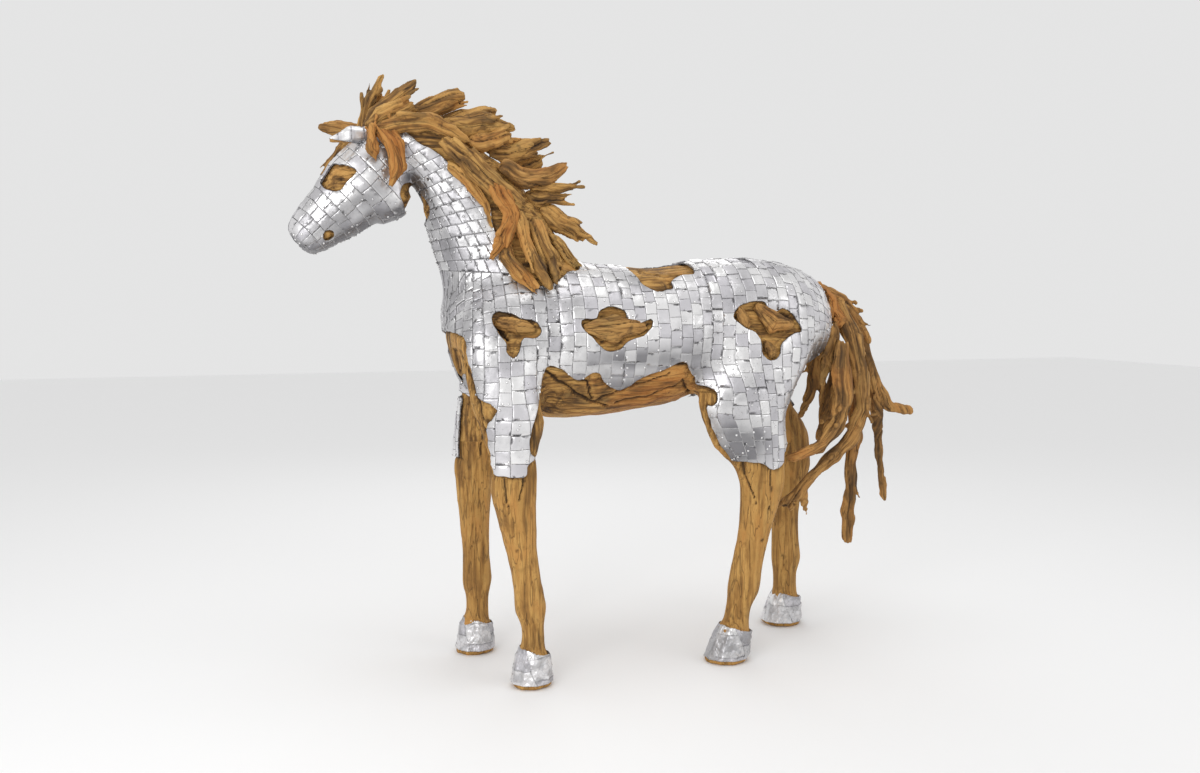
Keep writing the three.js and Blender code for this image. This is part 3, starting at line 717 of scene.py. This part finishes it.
def inPlates(bm, fields, chance, narrowing=None):  # cuts rows of plates and numbers them
    plate = bm.faces.layers.int.new("plate")
    points = placesOf(bm)
    u, v = fields(points)
    u = u + skin["wobble"] * noiseAt(points, 21, 40)
    v = v + skin["wobble"] * noiseAt(points, 21, 60)
    laidOut(bm, np.stack([u, v, u * 0], 1))
    columns = cuts(u.min(), u.max(), skin["column"], chance)
    for place in columns:
        sliced(bm, allOf(bm), (place, 0, 0), (1, 0, 0))
    strips = {}
    for face in bm.faces:
        strips.setdefault(int(np.searchsorted(columns, face.calc_center_median().x)), []).append(face)
    number = 0
    for strip, faces in sorted(strips.items()):
        waiting = [(*reachOf(face), face) for face in faces]
        pitch = skin["brick"] * (narrowing(columns[min(strip, len(columns) - 1)]) if narrowing else 1)
        for place in cuts(min(w[0] for w in waiting), max(w[1] for w in waiting), pitch, chance):
            number += 1
            done = [face for low, high, face in waiting if high <= place]
            crossing = [face for low, high, face in waiting if low < place < high]
            waiting = [w for w in waiting if w[0] >= place and w[1] > place]
            for face in sliced(bm, withEdges(crossing), (0, place, 0), (0, 1, 0)) if crossing else []:
                if not isinstance(face, bmesh.types.BMFace):
                    continue
                if face.calc_center_median().y < place:
                    done.append(face)
                else:
                    waiting.append((*reachOf(face), face))
            for face in done:
                face[plate] = number
    foldedBack(bm)
    return number


def mergeSmallPlates(bm, plate, smallest):
    area, beside = {}, {}
    for face in bm.faces:
        area[face[plate]] = area.get(face[plate], 0) + face.calc_area()
    small = {name for name, size in area.items() if size < smallest}
    for edge in bm.edges:
        if len(edge.link_faces) == 2:
            a, b = (face[plate] for face in edge.link_faces)
            if a != b and (a in small or b in small):
                for this, that in ((a, b), (b, a)):
                    shared = beside.setdefault(this, {})
                    shared[that] = shared.get(that, 0) + edge.calc_length()
    into = {}
    for name in small:
        others = {that: share for that, share in beside.get(name, {}).items() if that not in small}
        if others:
            into[name] = max(others, key=others.get)
    for face in bm.faces:
        face[plate] = into.get(face[plate], face[plate])


def raisePlates(bm, seed):  # parts the plates, rounds their edges and dents them
    plate = bm.faces.layers.int["plate"]
    shared = [e for e in bm.edges if len(e.link_faces) == 2]
    seams = [e for e in shared if e.link_faces[0][plate] != e.link_faces[1][plate]]
    bmesh.ops.split_edges(bm, edges=seams)
    bmesh.ops.inset_region(bm, faces=bm.faces[:], thickness=skin["bevel"], depth=0, use_boundary=True,
                           use_even_offset=False)
    mesh = meshFrom(bm, "plates")
    points, normals, edges = pointsOf(mesh), normalsOf(mesh), edgesOf(mesh)
    corners, wires = (valuesOf(mesh.loops, key, np.int32) for key in ("vertex_index", "edge_index"))
    sides = valuesOf(mesh.polygons, "loop_total", np.int32)
    names = valuesOf(mesh.attributes["plate"].data, "value", np.int32)
    plateOf = np.zeros(len(points), np.int32)
    plateOf[corners] = np.repeat(names, sides)
    outer = np.bincount(wires, minlength=len(edges)) == 1
    low = np.zeros(len(points), bool)
    low[edges[outer].ravel()] = True
    chance = np.random.default_rng(seed)
    count = plateOf.max() + 1
    tone, lift = chance.random(count), skin["lift"] + skin["uneven"] * chance.random(count)
    tilt = chance.normal(0, skin["tilt"], (count, 3))
    size = np.maximum(np.bincount(plateOf, minlength=count), 1)
    middle = np.stack([np.bincount(plateOf, points[:, i], count) / size for i in range(3)], 1)
    rise = lift[plateOf] + (tilt[plateOf] * (points - middle[plateOf])).sum(1)
    rise += skin["dent"] * (noiseAt(points, 55) + 0.3 * noiseAt(points, 150, 7))
    points = points + normals * np.where(low, 0, rise)[:, None]
    putPoints(mesh, points)
    mesh.attributes.remove(mesh.attributes["plate"])
    # painted shade: plates that face down are darker, and so are plates in the shade zones, each by its own
    # tone
    shaded = ramp(-normals[:, 2], 0.05, 0.65)
    for centre, halves, share in paintedShadeZones:
        far = (((points[:, [0, 2]] - centre) / halves) ** 2).sum(1)
        shaded = np.maximum(shaded, share * np.exp(-far) * (0.45 + 0.75 * tone[plateOf]))
    mark(mesh, plate=tone[plateOf], seam=low, under=np.clip(shaded, 0, 1))
    bm = opened(mesh)
    bmesh.ops.remove_doubles(bm, verts=[v for v in bm.verts if low[v.index]], dist=3e-5)
    return bm


def steelSkin():
    chance = random.Random(7)
    bm = opened(horse)
    field = fromSteel(placesOf(bm))
    for vertex, normal in zip(bm.verts, [v.normal.copy() for v in bm.verts]):
        vertex.co += normal * skin["proud"]
    laidOut(bm, np.stack([field, field * 0, field * 0], 1))
    sliced(bm, allOf(bm), (0, 0, 0), (1, 0, 0), 1e-5, clear_inner=True)
    foldedBack(bm)
    dropped(bm, [v for v in bm.verts if not v.link_faces])
    largestShell(bm)
    headEnd, headFace = Vector(layout["headSplit"]), Vector((1, 0, layout["splitLean"]))
    sliced(bm, allOf(bm), headEnd, headFace, 1e-5)
    sliced(bm, allOf(bm), (0, 0, layout["neckFloor"]), (layout["floorLean"], 0, 1), 1e-5)
    sliced(bm, allOf(bm), (layout["neckRear"], 0, 0), (1, 0, 0), 1e-5)

    def regionOf(centre):
        if centre.z < layout["neckFloor"] - layout["floorLean"] * centre.x or centre.x > layout["neckRear"]:
            return "body"
        return "head" if (centre - headEnd).dot(headFace) < 0 else "neck"

    whole = meshFrom(bm, "skin")
    joined = bmesh.new()
    joined.faces.layers.int.new("plate")
    start = 0
    for region, fields in {"head": headFields, "neck": neckFields, "body": bodyFields}.items():
        part = opened(whole)
        dropped(part, [f for f in part.faces if regionOf(f.calc_center_median()) != region], "FACES")
        dropped(part, [v for v in part.verts if not v.link_faces])
        used = inPlates(part, fields, chance, neckNarrowing if region == "neck" else None)
        plate = part.faces.layers.int["plate"]
        for face in part.faces:
            face[plate] += start
        start += used
        joined.from_mesh(meshFrom(part, region))
    bmesh.ops.remove_doubles(joined, verts=joined.verts, dist=1e-5)
    mergeSmallPlates(joined, joined.faces.layers.int["plate"], skin["smallest"])
    print("plates", len({f[joined.faces.layers.int["plate"]] for f in joined.faces}))
    made = raisePlates(joined, 7)
    horseTree = treeOf(horse)
    edge = bmesh.ops.extrude_edge_only(made, edges=[e for e in made.edges if e.is_boundary])["geom"]
    for vertex in edge:
        if isinstance(vertex, bmesh.types.BMVert):
            vertex.co -= horseTree.find_nearest(vertex.co)[1] * skin["rim"]
    return meshFrom(made, "steelSkin")


nailHeads = {
    "share": 0.5,  # of the plates have one or two
    "fewest": 12,  # points of a plate that is large enough
    "radius": 0.0042,
    "height": 0.42,  # of the radius
    "rim": 0.0014,  # height of the dark ring round a head
    "beside": 0.30,  # how far it is from the edge towards the middle
    "tone": 0.1,
}


def nailsOn(mesh):  # round heads near the edges of some plates
    tones, seams = (valuesOf(mesh.attributes[key].data, "value") for key in ("plate", "seam"))
    points, normals = pointsOf(mesh), normalsOf(mesh)
    names, plateOf = np.unique(tones, return_inverse=True)
    chance = random.Random(11)
    head = bmesh.new()
    bmesh.ops.create_uvsphere(head, u_segments=7, v_segments=4, radius=nailHeads["radius"])
    head = meshFrom(head, "head")
    dome = pointsOf(head) * (1, 1, nailHeads["height"])
    bm = bmesh.new()
    for name in range(len(names)):
        own = np.flatnonzero((plateOf == name) & (seams < 0.5))
        if chance.random() > nailHeads["share"] or len(own) < nailHeads["fewest"]:
            continue
        middle = points[own].mean(0)
        for _ in range(chance.choice((1, 1, 2))):
            corner = points[chance.choice(own.tolist())]
            aim = corner + (middle - corner) * nailHeads["beside"]
            place = own[np.linalg.norm(points[own] - aim, axis=1).argmin()]
            turn = np.array(Vector(normals[place]).to_track_quat("Z", "Y").to_matrix())
            putPoints(head, points[place] + dome @ turn.T)
            bm.from_mesh(head)
    made, skinTree = meshFrom(bm, "nails"), treeOf(mesh)
    height = np.array([(Vector(p) - skinTree.find_nearest(p)[0]).length for p in pointsOf(made)])
    mark(made, plate=nailHeads["tone"], seam=1 - ramp(height, 0.0, nailHeads["rim"]), under=0.0)
    return made


steel = pieceFrom(steelSkin(), "steelSkin", "hammered_steel", ["steel_cladding"])
pieceFrom(nailsOn(steel.data), "nailHeads", "hammered_steel", [])


# the wooden body and legs, one surface with relief, parted where the legs join on

wood = {
    "voxel": 0.0066,
    "under": 0.0025,  # how far the wood lies under the steel
    "recess": 0.009,  # how much deeper it starts at the edge of an opening
    "reach": 0.012,
    "covered": 0.006,  # and where steel covers it
    "bed": 0.010,  # how deep the roots lie in the side openings
    "strand": 0.0042,  # heights of the relief, from broad strands to fine ones
    "ridge": 0.0016,
    "fine": 0.0007,
    "lump": 0.003,
    "legCalm": 0.72,  # how much of the broad relief the legs lose
}
joints = {"front_left": 0.72, "front_right": 0.72, "hind_left": 0.715, "hind_right": 0.812}


def bodyGrain(points):  # along the grain, then across it twice
    x, y, z = points.T
    belly = (x > -0.33) & (x < 0.14)
    upright = np.maximum(ramp(-z, -0.92, -0.86), ramp(-x, 0.50, 0.54) * ramp(-z, -1.25, -1.15)) * ~belly
    return np.where((upright > 0.5)[:, None], np.stack([z + 3, x, y], 1), points[:, [0, 2, 1]])


gaps = {  # gaps between the roots, carved and painted dark as shade: side, width, depth and line along X and Z
    "bellyLong": ("left", 0.009, 0.016, [(-0.345, 0.975), (-0.3, 0.935), (-0.245, 0.9), (-0.19, 0.87),
        (-0.13, 0.85)]),
    "bellyKnob": ("left", 0.007, 0.014, [(-0.24, 0.94), (-0.21, 0.93), (-0.2, 0.9), (-0.178, 0.868)]),
    "bellyBack": ("left", 0.007, 0.012, [(-0.178, 0.868), (-0.1, 0.9), (-0.02, 0.925), (0.06, 0.955)]),
    "bellyLow": ("left", 0.006, 0.01, [(-0.1, 0.862), (0, 0.878), (0.08, 0.905), (0.13, 0.94)]),
    "bellyRight": ("right", 0.007, 0.01, [(-0.33, 0.95), (-0.2, 0.9), (-0.05, 0.88), (0.1, 0.93)]),
    "flankHigh": ("left", 0.006, 0.012, [(-0.2, 1.122), (-0.14, 1.118), (-0.09, 1.104), (-0.01, 1.112)]),
    "flankLow": ("left", 0.005, 0.008, [(-0.175, 1.055), (-0.12, 1.078), (-0.05, 1.082)]),
    "shoulderHole": ("left", 0.016, 0.026, [(-0.488, 1.108), (-0.472, 1.09), (-0.462, 1.072)]),
    "shoulderNotch": ("left", 0.005, 0.01, [(-0.455, 1.14), (-0.448, 1.115), (-0.43, 1.1)]),
    "backLong": ("left", 0.006, 0.01, [(0, 1.275), (0.06, 1.262), (0.14, 1.268)]),
    "chestLong": ("left", 0.006, 0.012, [(-0.6, 1.03), (-0.575, 0.93), (-0.55, 0.86), (-0.535, 0.78)]),
    "stifleLow": ("left", 0.006, 0.012, [(0.11, 0.93), (0.14, 0.9), (0.17, 0.87)]),
    "maneHollow": ("left", 0.02, 0.034, [(-0.33, 1.262), (-0.3, 1.275), (-0.27, 1.29)]),
    "frontStrand": ("left", 0.006, 0.01, [(-0.5, 0.7), (-0.485, 0.64), (-0.475, 0.57)]),
    "frontStrandBack": ("left", 0.007, 0.012, [(-0.43, 0.7), (-0.425, 0.64), (-0.44, 0.59)]),
    "hindStrand": ("left", 0.006, 0.01, [(0.3, 0.68), (0.33, 0.6), (0.36, 0.52)]),
    "hindStrandBack": ("left", 0.006, 0.009, [(0.4, 0.66), (0.41, 0.58), (0.405, 0.5)]),
    "farStrand": ("right", 0.007, 0.01, [(-0.5, 0.95), (-0.47, 0.8), (-0.48, 0.66)]),
}
knots = [  # side, X, Z, radius and depth, negative where one stands out
    ("left", -0.457, 0.168, 0.01, 0.01), ("left", -0.445, 0.43, 0.007, 0.004),
    ("left", 0.385, 0.4, 0.008, 0.005), ("left", -0.38, 0.9, 0.012, 0.008),
    ("left", -0.27, 0.892, 0.011, -0.006), ("left", -0.93, 1.54, 0.01, 0.007),
]


def carved(points):  # how deep the gaps and knots go at each point
    flat = points[:, [0, 2]] + 0.006 * np.stack([noiseAt(points, 24, 2), noiseAt(points, 24, 6)], 1)
    uneven = 0.75 + 0.6 * noiseAt(points, 40, 12)
    on = {"left": points[:, 1] < 0, "right": points[:, 1] > 0}
    deep = np.zeros(len(points))
    for side, width, depth, line in gaps.values():
        line = np.array(line)
        for part, (start, end) in enumerate(zip(line, line[1:])):
            run = end - start
            t = np.clip(((flat - start) @ run) / (run @ run), 0, 1)
            far = np.linalg.norm(flat - start - t[:, None] * run, axis=1)
            narrow = uneven * (1 - 0.7 * (part + t) / (len(line) - 1))
            deep = np.maximum(deep, depth * np.exp(-(far / (width * narrow)) ** 2) * on[side])
    for side, x, z, radius, depth in knots:
        far = np.hypot(points[:, 0] - x, points[:, 2] - z)
        deep = deep + depth * np.exp(-(far / radius) ** 2) * on[side]
    return deep


def woodSurface():
    mesh = remeshed(horse.copy(), wood["voxel"])
    points, normals = pointsOf(mesh), normalsOf(mesh)
    field = fromSteel(points, 0)
    grain = bodyGrain(points)
    bare = ramp(-field, 0, 0.01)
    strands = noiseAt(grain * (4.0, 26, 26), 1, 3)
    ridges = 1 - 2 * np.abs(noiseAt(grain * (6.0, 44, 44), 1, 8))
    fine = noiseAt(grain * (11, 90, 90), 1, 21)
    lumps = noiseAt(points, 8, 33)
    leg = ramp(-points[:, 2], -0.66, -0.56)
    relief = (strands * wood["strand"] + ridges * wood["ridge"]) * (1 - wood["legCalm"] * leg)
    relief += fine * wood["fine"]
    relief += lumps * wood["lump"] * (1 - 0.5 * leg)
    edge = wood["recess"] * np.exp(-np.maximum(-field, 0) / wood["reach"]) * (1 - leg * 0.6)
    x, y, z = points.T
    opening = (z > 0.98) & (z < 1.2) & (np.abs(y) > 0.08) & (x > -0.52)
    edge = edge + wood["bed"] * opening * ramp(-field, 0.002, 0.015)
    depth = wood["under"] + np.where(field > 0, wood["covered"], edge)
    push = (relief - carved(points)) * bare - depth * (1 - 0.55 * leg)
    points = points + normals * push[:, None]
    points[:, 2] = np.maximum(points[:, 2], 0)
    putPoints(mesh, points)
    return mesh


woodAll = woodSurface()
print("wooden body and legs", len(woodAll.vertices), "points", flush=True)


def standingIn(points, name, slack):  # the points of one leg, up to where it joins the body
    low, high = (np.array(corner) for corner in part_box(f"{name}_leg"))
    side = -1 if low[1] < 0 else 1
    inside = (points[:, 0] > low[0] - 0.05) & (points[:, 0] < high[0] + 0.05) & (points[:, 1] * side > 0)
    return inside & (points[:, 2] < joints[name] + slack)


def cutLegs():
    bm = opened(woodAll)
    for name in legNames:
        near = standingIn(placesOf(bm), name, 0.03)
        faces = [f for f in bm.faces if all(near[v.index] for v in f.verts)]
        sliced(bm, withEdges(faces), (0, 0, joints[name]), (0, 0, 1))
        bm.verts.index_update()
    whole = placesOf(bm)
    made = {}
    for part in ["body", *legNames]:
        if part == "body":
            gone = np.any([standingIn(whole, name, -1e-5) for name in legNames], axis=0)
        else:
            gone = ~standingIn(whole, part, 1e-5)
        piece = bm.copy()
        piece.verts.ensure_lookup_table()
        dropped(piece, [piece.verts[i] for i in np.flatnonzero(gone)])
        largestShell(piece)
        bmesh.ops.holes_fill(piece, edges=[e for e in piece.edges if e.is_boundary], sides=0)
        made[part] = meshFrom(piece, part)
    return made


darkness = 0.022  # painted shade: a gap of this depth is painted quite dark
warmLog = {"centre": (0.0, -0.1, 0.90), "halves": (0.16, 0.3, 0.09), "tone": 0.9}
parts = cutLegs()
bodyMesh = parts["body"]
points = pointsOf(bodyMesh)
warm = np.exp(-(((points - warmLog["centre"]) / warmLog["halves"]) ** 2).sum(1))
tone = 0.3 * noiseAt(points, 5, 2) + warmLog["tone"] * warm
# the carved gaps and knots painted in shade
markWood(bodyMesh, bodyGrain(points), tone, carved(points) / darkness)
pieceFrom(bodyMesh, "woodBody", "teak_root", ["wood_body", *bellyNames])
for name in legNames:  # painted shade towards the top, under the steel hems, and darker round the fetlock
    mesh = parts[name]
    points = pointsOf(mesh)
    darker = 0.5 * ramp(points[:, 2], 0.52, 0.68) + 0.45 * np.exp(-((points[:, 2] - 0.15) / 0.05) ** 2)
    # with the carved gaps painted in shade
    darker = darker * (0.6 + 0.8 * noiseAt(points, 16, 4)) + carved(points) / darkness
    markWood(mesh, points[:, [2, 0, 1]], 0.2 * noiseAt(points, 6, 4), darker)
    pieceFrom(mesh, f"{name}_lowerLeg", "pale_teak", [f"{name}_leg"])


# driftwood shards and roots: each grown over its solid, with its own middle line for the grain

def middleLine(points, bins=12):
    middle = points.mean(0)
    axis = np.linalg.svd(points - middle, full_matrices=False)[2][0]
    along = (points - middle) @ axis
    stops = np.linspace(along.min(), along.max(), bins + 1)
    line = []
    for low, high in zip(stops, stops[1:]):
        here = (along >= low) & (along <= high)
        if here.any():
            line.append(points[here].mean(0))
    return np.array(line)


def alongLine(points, line):  # distance along a middle line, and how far off it sideways and up
    runs = line[1:] - line[:-1]
    lengths = np.linalg.norm(runs, axis=1)
    before = np.concatenate([[0], np.cumsum(lengths)[:-1]])
    away = points[:, None, :] - line[None, :-1]
    t = (away * runs).sum(2) / (lengths ** 2)
    limit = np.clip(t, 0, 1)
    gap = np.linalg.norm(away - limit[..., None] * runs, axis=2)
    best = gap.argmin(1)
    rows = np.arange(len(points))
    t, limit = t[rows, best], limit[rows, best]
    t = np.where(best == 0, np.minimum(t, 1), np.where(best == len(runs) - 1, np.maximum(t, 0), limit))
    off = points - (line[best] + t[:, None] * runs[best])
    run = runs[best] / lengths[best][:, None]
    side = np.cross(run, (0, 1, 0))
    side /= np.maximum(np.linalg.norm(side, axis=1), 1e-6)[:, None]
    up = np.cross(side, run)
    place = (before[best] + t * lengths[best], (off * side).sum(1), (off * up).sum(1))
    return place, run, before[-1] + lengths[-1]


driftwood = {
    "voxel": 0.0042,
    "groove": 0.0022,
    "ridge": 0.0022,
    "lump": 0.0075,
    "split": 0.0052,
    "ragged": 0.007,  # how uneven the torn ends are
    "rounding": 7,  # passes of smoothing
    "lumpRounding": 26,  # and for the lumps in the openings
    "fuller": {"mane": 0.0010, "tail": 0.0024},
}
growths = {  # side splinters of a kind of shard, and where its shards grow from
    "mane": {"many": 4, "length": (0.05, 0.11), "thick": (0.0085, 0.0125), "angle": (0.06, 0.26),
             "heart": (-0.62, 0, 1.42)},
    "tail": {"many": 3, "length": (0.03, 0.055), "thick": (0.0075, 0.0100), "angle": (0.5, 1.0),
             "heart": (0.60, 0, 1.20)},
}
knob = {"share": 0.45, "least": 0.009, "most": 0.016}  # the share of tips that have one, and its radius


def withSplinters(mesh, kind, seed):  # the next remesh fuses the splinters and the knob to the shard
    growth = growths[kind]
    points = pointsOf(mesh)
    line = middleLine(points)
    if np.linalg.norm(line[0] - growth["heart"]) > np.linalg.norm(line[-1] - growth["heart"]):
        line = line[::-1]
    chance = random.Random(int(seed * 10))
    bm = opened(mesh)
    for _ in range(growth["many"]):
        at = chance.randint(len(line) // 3, max(len(line) // 3, len(line) - 4))
        run = line[at + 1] - line[at]
        run /= np.linalg.norm(run)
        near = points[np.abs((points - line[at]) @ run) < 0.008]
        if not len(near):
            continue
        start = near[chance.randrange(len(near))]
        out = start - line[at]
        out -= run * (out @ run)
        out /= max(np.linalg.norm(out), 1e-6)
        angle, length, thick = (chance.uniform(*growth[key]) for key in ("angle", "length", "thick"))
        aim = run * math.cos(angle) + out * math.sin(angle)
        start = start - out * thick * 0.9
        middle = Vector(start + aim * length * 0.42)
        turn = Vector(aim).to_track_quat("Z", "Y").to_matrix().to_4x4()
        bmesh.ops.create_cone(bm, cap_ends=True, segments=7, radius1=thick, radius2=thick * 0.42,
                              depth=length, matrix=Matrix.Translation(middle) @ turn)
    if chance.random() < knob["share"]:
        tip, before = line[-1], line[-2]
        wide = np.linalg.norm(points - tip, axis=1).min()
        place = Matrix.Translation(tip + (tip - before) * 0.3)
        size = max(knob["least"], min(knob["most"], wide * 1.3))
        bmesh.ops.create_icosphere(bm, subdivisions=2, radius=size, matrix=place)
    return meshFrom(bm, "grown")


def driftPiece(name, seed, kind, relief=1.0, tone=0.0):
    mesh = remeshed(solidsOf([name]), driftwood["voxel"])
    if kind in growths:
        mesh = remeshed(withSplinters(mesh, kind, seed), driftwood["voxel"])
    line = middleLine(pointsOf(mesh))
    points = softened(mesh, 0.5, driftwood["lumpRounding" if kind == "root" else "rounding"])
    (along, side, up), run, length = alongLine(points, line)
    grain = np.stack([along + seed, side, up], 1)
    normals = normalsOf(mesh)
    grooves = noiseAt(grain * (7, 75, 75), 1, seed)
    ridges = 1 - 2 * np.abs(noiseAt(grain * (5, 42, 42), 1, seed + 7))
    lumps = noiseAt(points, 20, seed)
    split = np.exp(-(noiseAt(grain * (3.2, 34, 34), 1, seed + 17) / 0.07) ** 2)
    push = relief * (grooves * driftwood["groove"] + ridges * driftwood["ridge"] + lumps * driftwood["lump"]
                     - split * driftwood["split"])
    ends = np.exp(-np.minimum(along, length - along) / 0.03)
    jag = noiseAt(grain * (4, 130, 130), 1, seed + 11) * driftwood["ragged"] * ends * relief
    points = points + normals * (push + driftwood["fuller"].get(kind, 0))[:, None] + run * jag[:, None]
    putPoints(mesh, points)
    markWood(mesh, grain, tone + 0.4 * noiseAt(points, 7, seed))
    return mesh


tones = {"cheek_lock": 0.8, "cheek_tine": 0.7, "orange_blade": 0.9, "mane_foot": 0.4, "tail_root_cap": 0.8,
         "hanging_strip": 0.1, "poll_arch": 0.2, "left_ear": -0.3, "right_ear": -0.2}
earRelief = 0.35
shards = [name for name in nodes if name not in ("wood_body", "steel_cladding", *bellyNames)
          and not name.endswith(("_leg", "_hoof"))]
for index, name in enumerate(shards):
    kind = next((word for word in ("ear", "tail", "root") if word in name.split("_")), "mane")
    tone = tones.get(name, 0.25 * math.sin(index * 2.3))
    made = driftPiece(name, 10.0 + 3.7 * index, kind, earRelief if kind == "ear" else 1.0, tone)
    if name == "left_ear":
        nearEar = made
    else:
        pieceFrom(made, name + "_wood", "teak_root" if kind == "mane" else "dark_teak", [name])
print("driftwood", len(shards), "shards and roots", flush=True)


# the near ear: steel over wood that shows along its lower edge

ear = {"edgeAt": (-0.90, 0, 1.648), "edgeUp": (0.10, 0, 1), "proud": 0.0015, "plate": 0.038, "bands": 26}
for part, isSteel in (("steel", True), ("wood", False)):
    bm = opened(nearEar)
    sliced(bm, allOf(bm), ear["edgeAt"], ear["edgeUp"], 1e-5, clear_inner=isSteel, clear_outer=not isSteel)
    bmesh.ops.holes_fill(bm, edges=[e for e in bm.edges if e.is_boundary], sides=0)
    mesh = meshFrom(bm, part)
    if isSteel:
        points = pointsOf(mesh)
        putPoints(mesh, points + normalsOf(mesh) * ear["proud"])
        lines = np.abs(np.modf((points[:, 0] + 2) / ear["plate"] + 0.3 * points[:, 2])[0] - 0.5)
        # painted shade: the ear's steel darker where it faces down
        mark(mesh, plate=0.2 + 0.5 * (points[:, 0] * ear["bands"] % 1 > 0.5), seam=ramp(-lines, -0.06, -0.02),
             under=ramp(-normalsOf(mesh)[:, 2], 0.1, 0.7))
    pieceFrom(mesh, f"left_ear_{part}", "hammered_steel" if isSteel else "dark_teak", ["left_ear"])


# hooves: steel sheaths, hammered and lapped

hoof = {
    "voxel": 0.0028,
    "sheets": 4,  # round the foot
    "rows": 1.6,  # up the foot
    "lap": 0.0018,
    "dent": 0.0030,
    "coronet": 0.008,  # how uneven the upper edge is
    "close": 0.16,  # how far the upper edge draws in to the leg
    "inside": 0.001,
}


def hoofSheath(name, seed):
    mesh = remeshed(solidsOf([f"{name}_hoof"]), hoof["voxel"])
    points = softened(mesh, 0.5, 5)
    normals = normalsOf(mesh)
    middle = (points.max(0) + points.min(0)) / 2
    turn = np.arctan2(points[:, 1] - middle[1], points[:, 0] - middle[0]) / (2 * math.pi)
    height = (points[:, 2] - points[:, 2].min()) / np.ptp(points[:, 2])
    spiral = (turn + 0.10 * height + 0.013 * noiseAt(points, 30, seed)) * hoof["sheets"] + seed
    lap = spiral - np.floor(spiral)
    row = height * hoof["rows"] + 0.35 * np.sin(np.floor(spiral) * 2.4) + 0.05 * noiseAt(points, 40, seed + 3)
    step = row - np.floor(row)
    outside = np.clip(1 - np.abs(normals[:, 2]) * 1.3, 0, 1)
    dents = noiseAt(points, 70, seed) + 0.5 * noiseAt(points, 140, seed)
    push = ((lap + 0.6 * step) * hoof["lap"] + hoof["dent"] * dents) * outside - hoof["inside"]
    rise = hoof["coronet"] * noiseAt(points, 26, seed) * ramp(height, 0.7, 1.0)
    inward = (middle - points) * (1, 1, 0) * (hoof["close"] * ramp(height, 0.72, 1.0))[:, None]
    putPoints(mesh, points + normals * push[:, None] + inward + rise[:, None] * (0, 0, 1))
    dimples = ramp(np.abs(noiseAt(points, 95, seed + 5)), 0.30, 0.05) * 0.35
    far = np.minimum(np.minimum(lap, 1 - lap) * 0.44 / hoof["sheets"], np.minimum(step, 1 - step) * 0.05)
    mark(mesh, plate=0.5 + 0.5 * np.sin(np.floor(spiral) * 3.1 + np.floor(row) * 1.7 + seed),
         seam=np.maximum((1 - ramp(far, 0.0006, 0.0024)) * 0.7, dimples) * outside,
         under=0.45 * ramp(noiseAt(points, 34, seed + 9), 0.0, 0.4))
    return mesh


for index, name in enumerate(legNames):
    pieceFrom(hoofSheath(name, 3.3 * index), f"{name}_sheath", "hammered_steel", [f"{name}_hoof"])


# floor

bm = bmesh.new()
bmesh.ops.create_grid(bm, x_segments=1, y_segments=1, size=studio["floorSize"])
floorMesh = meshFrom(bm, "floor")
floorMaterial, floorShader, _ = finish("paleFloor")
floorShader.inputs["Base Color"].default_value = studio["floorColour"]
floorShader.inputs["Roughness"].default_value = 0.8
floorMesh.materials.append(floorMaterial)
floor = placed("floor", floorMesh)
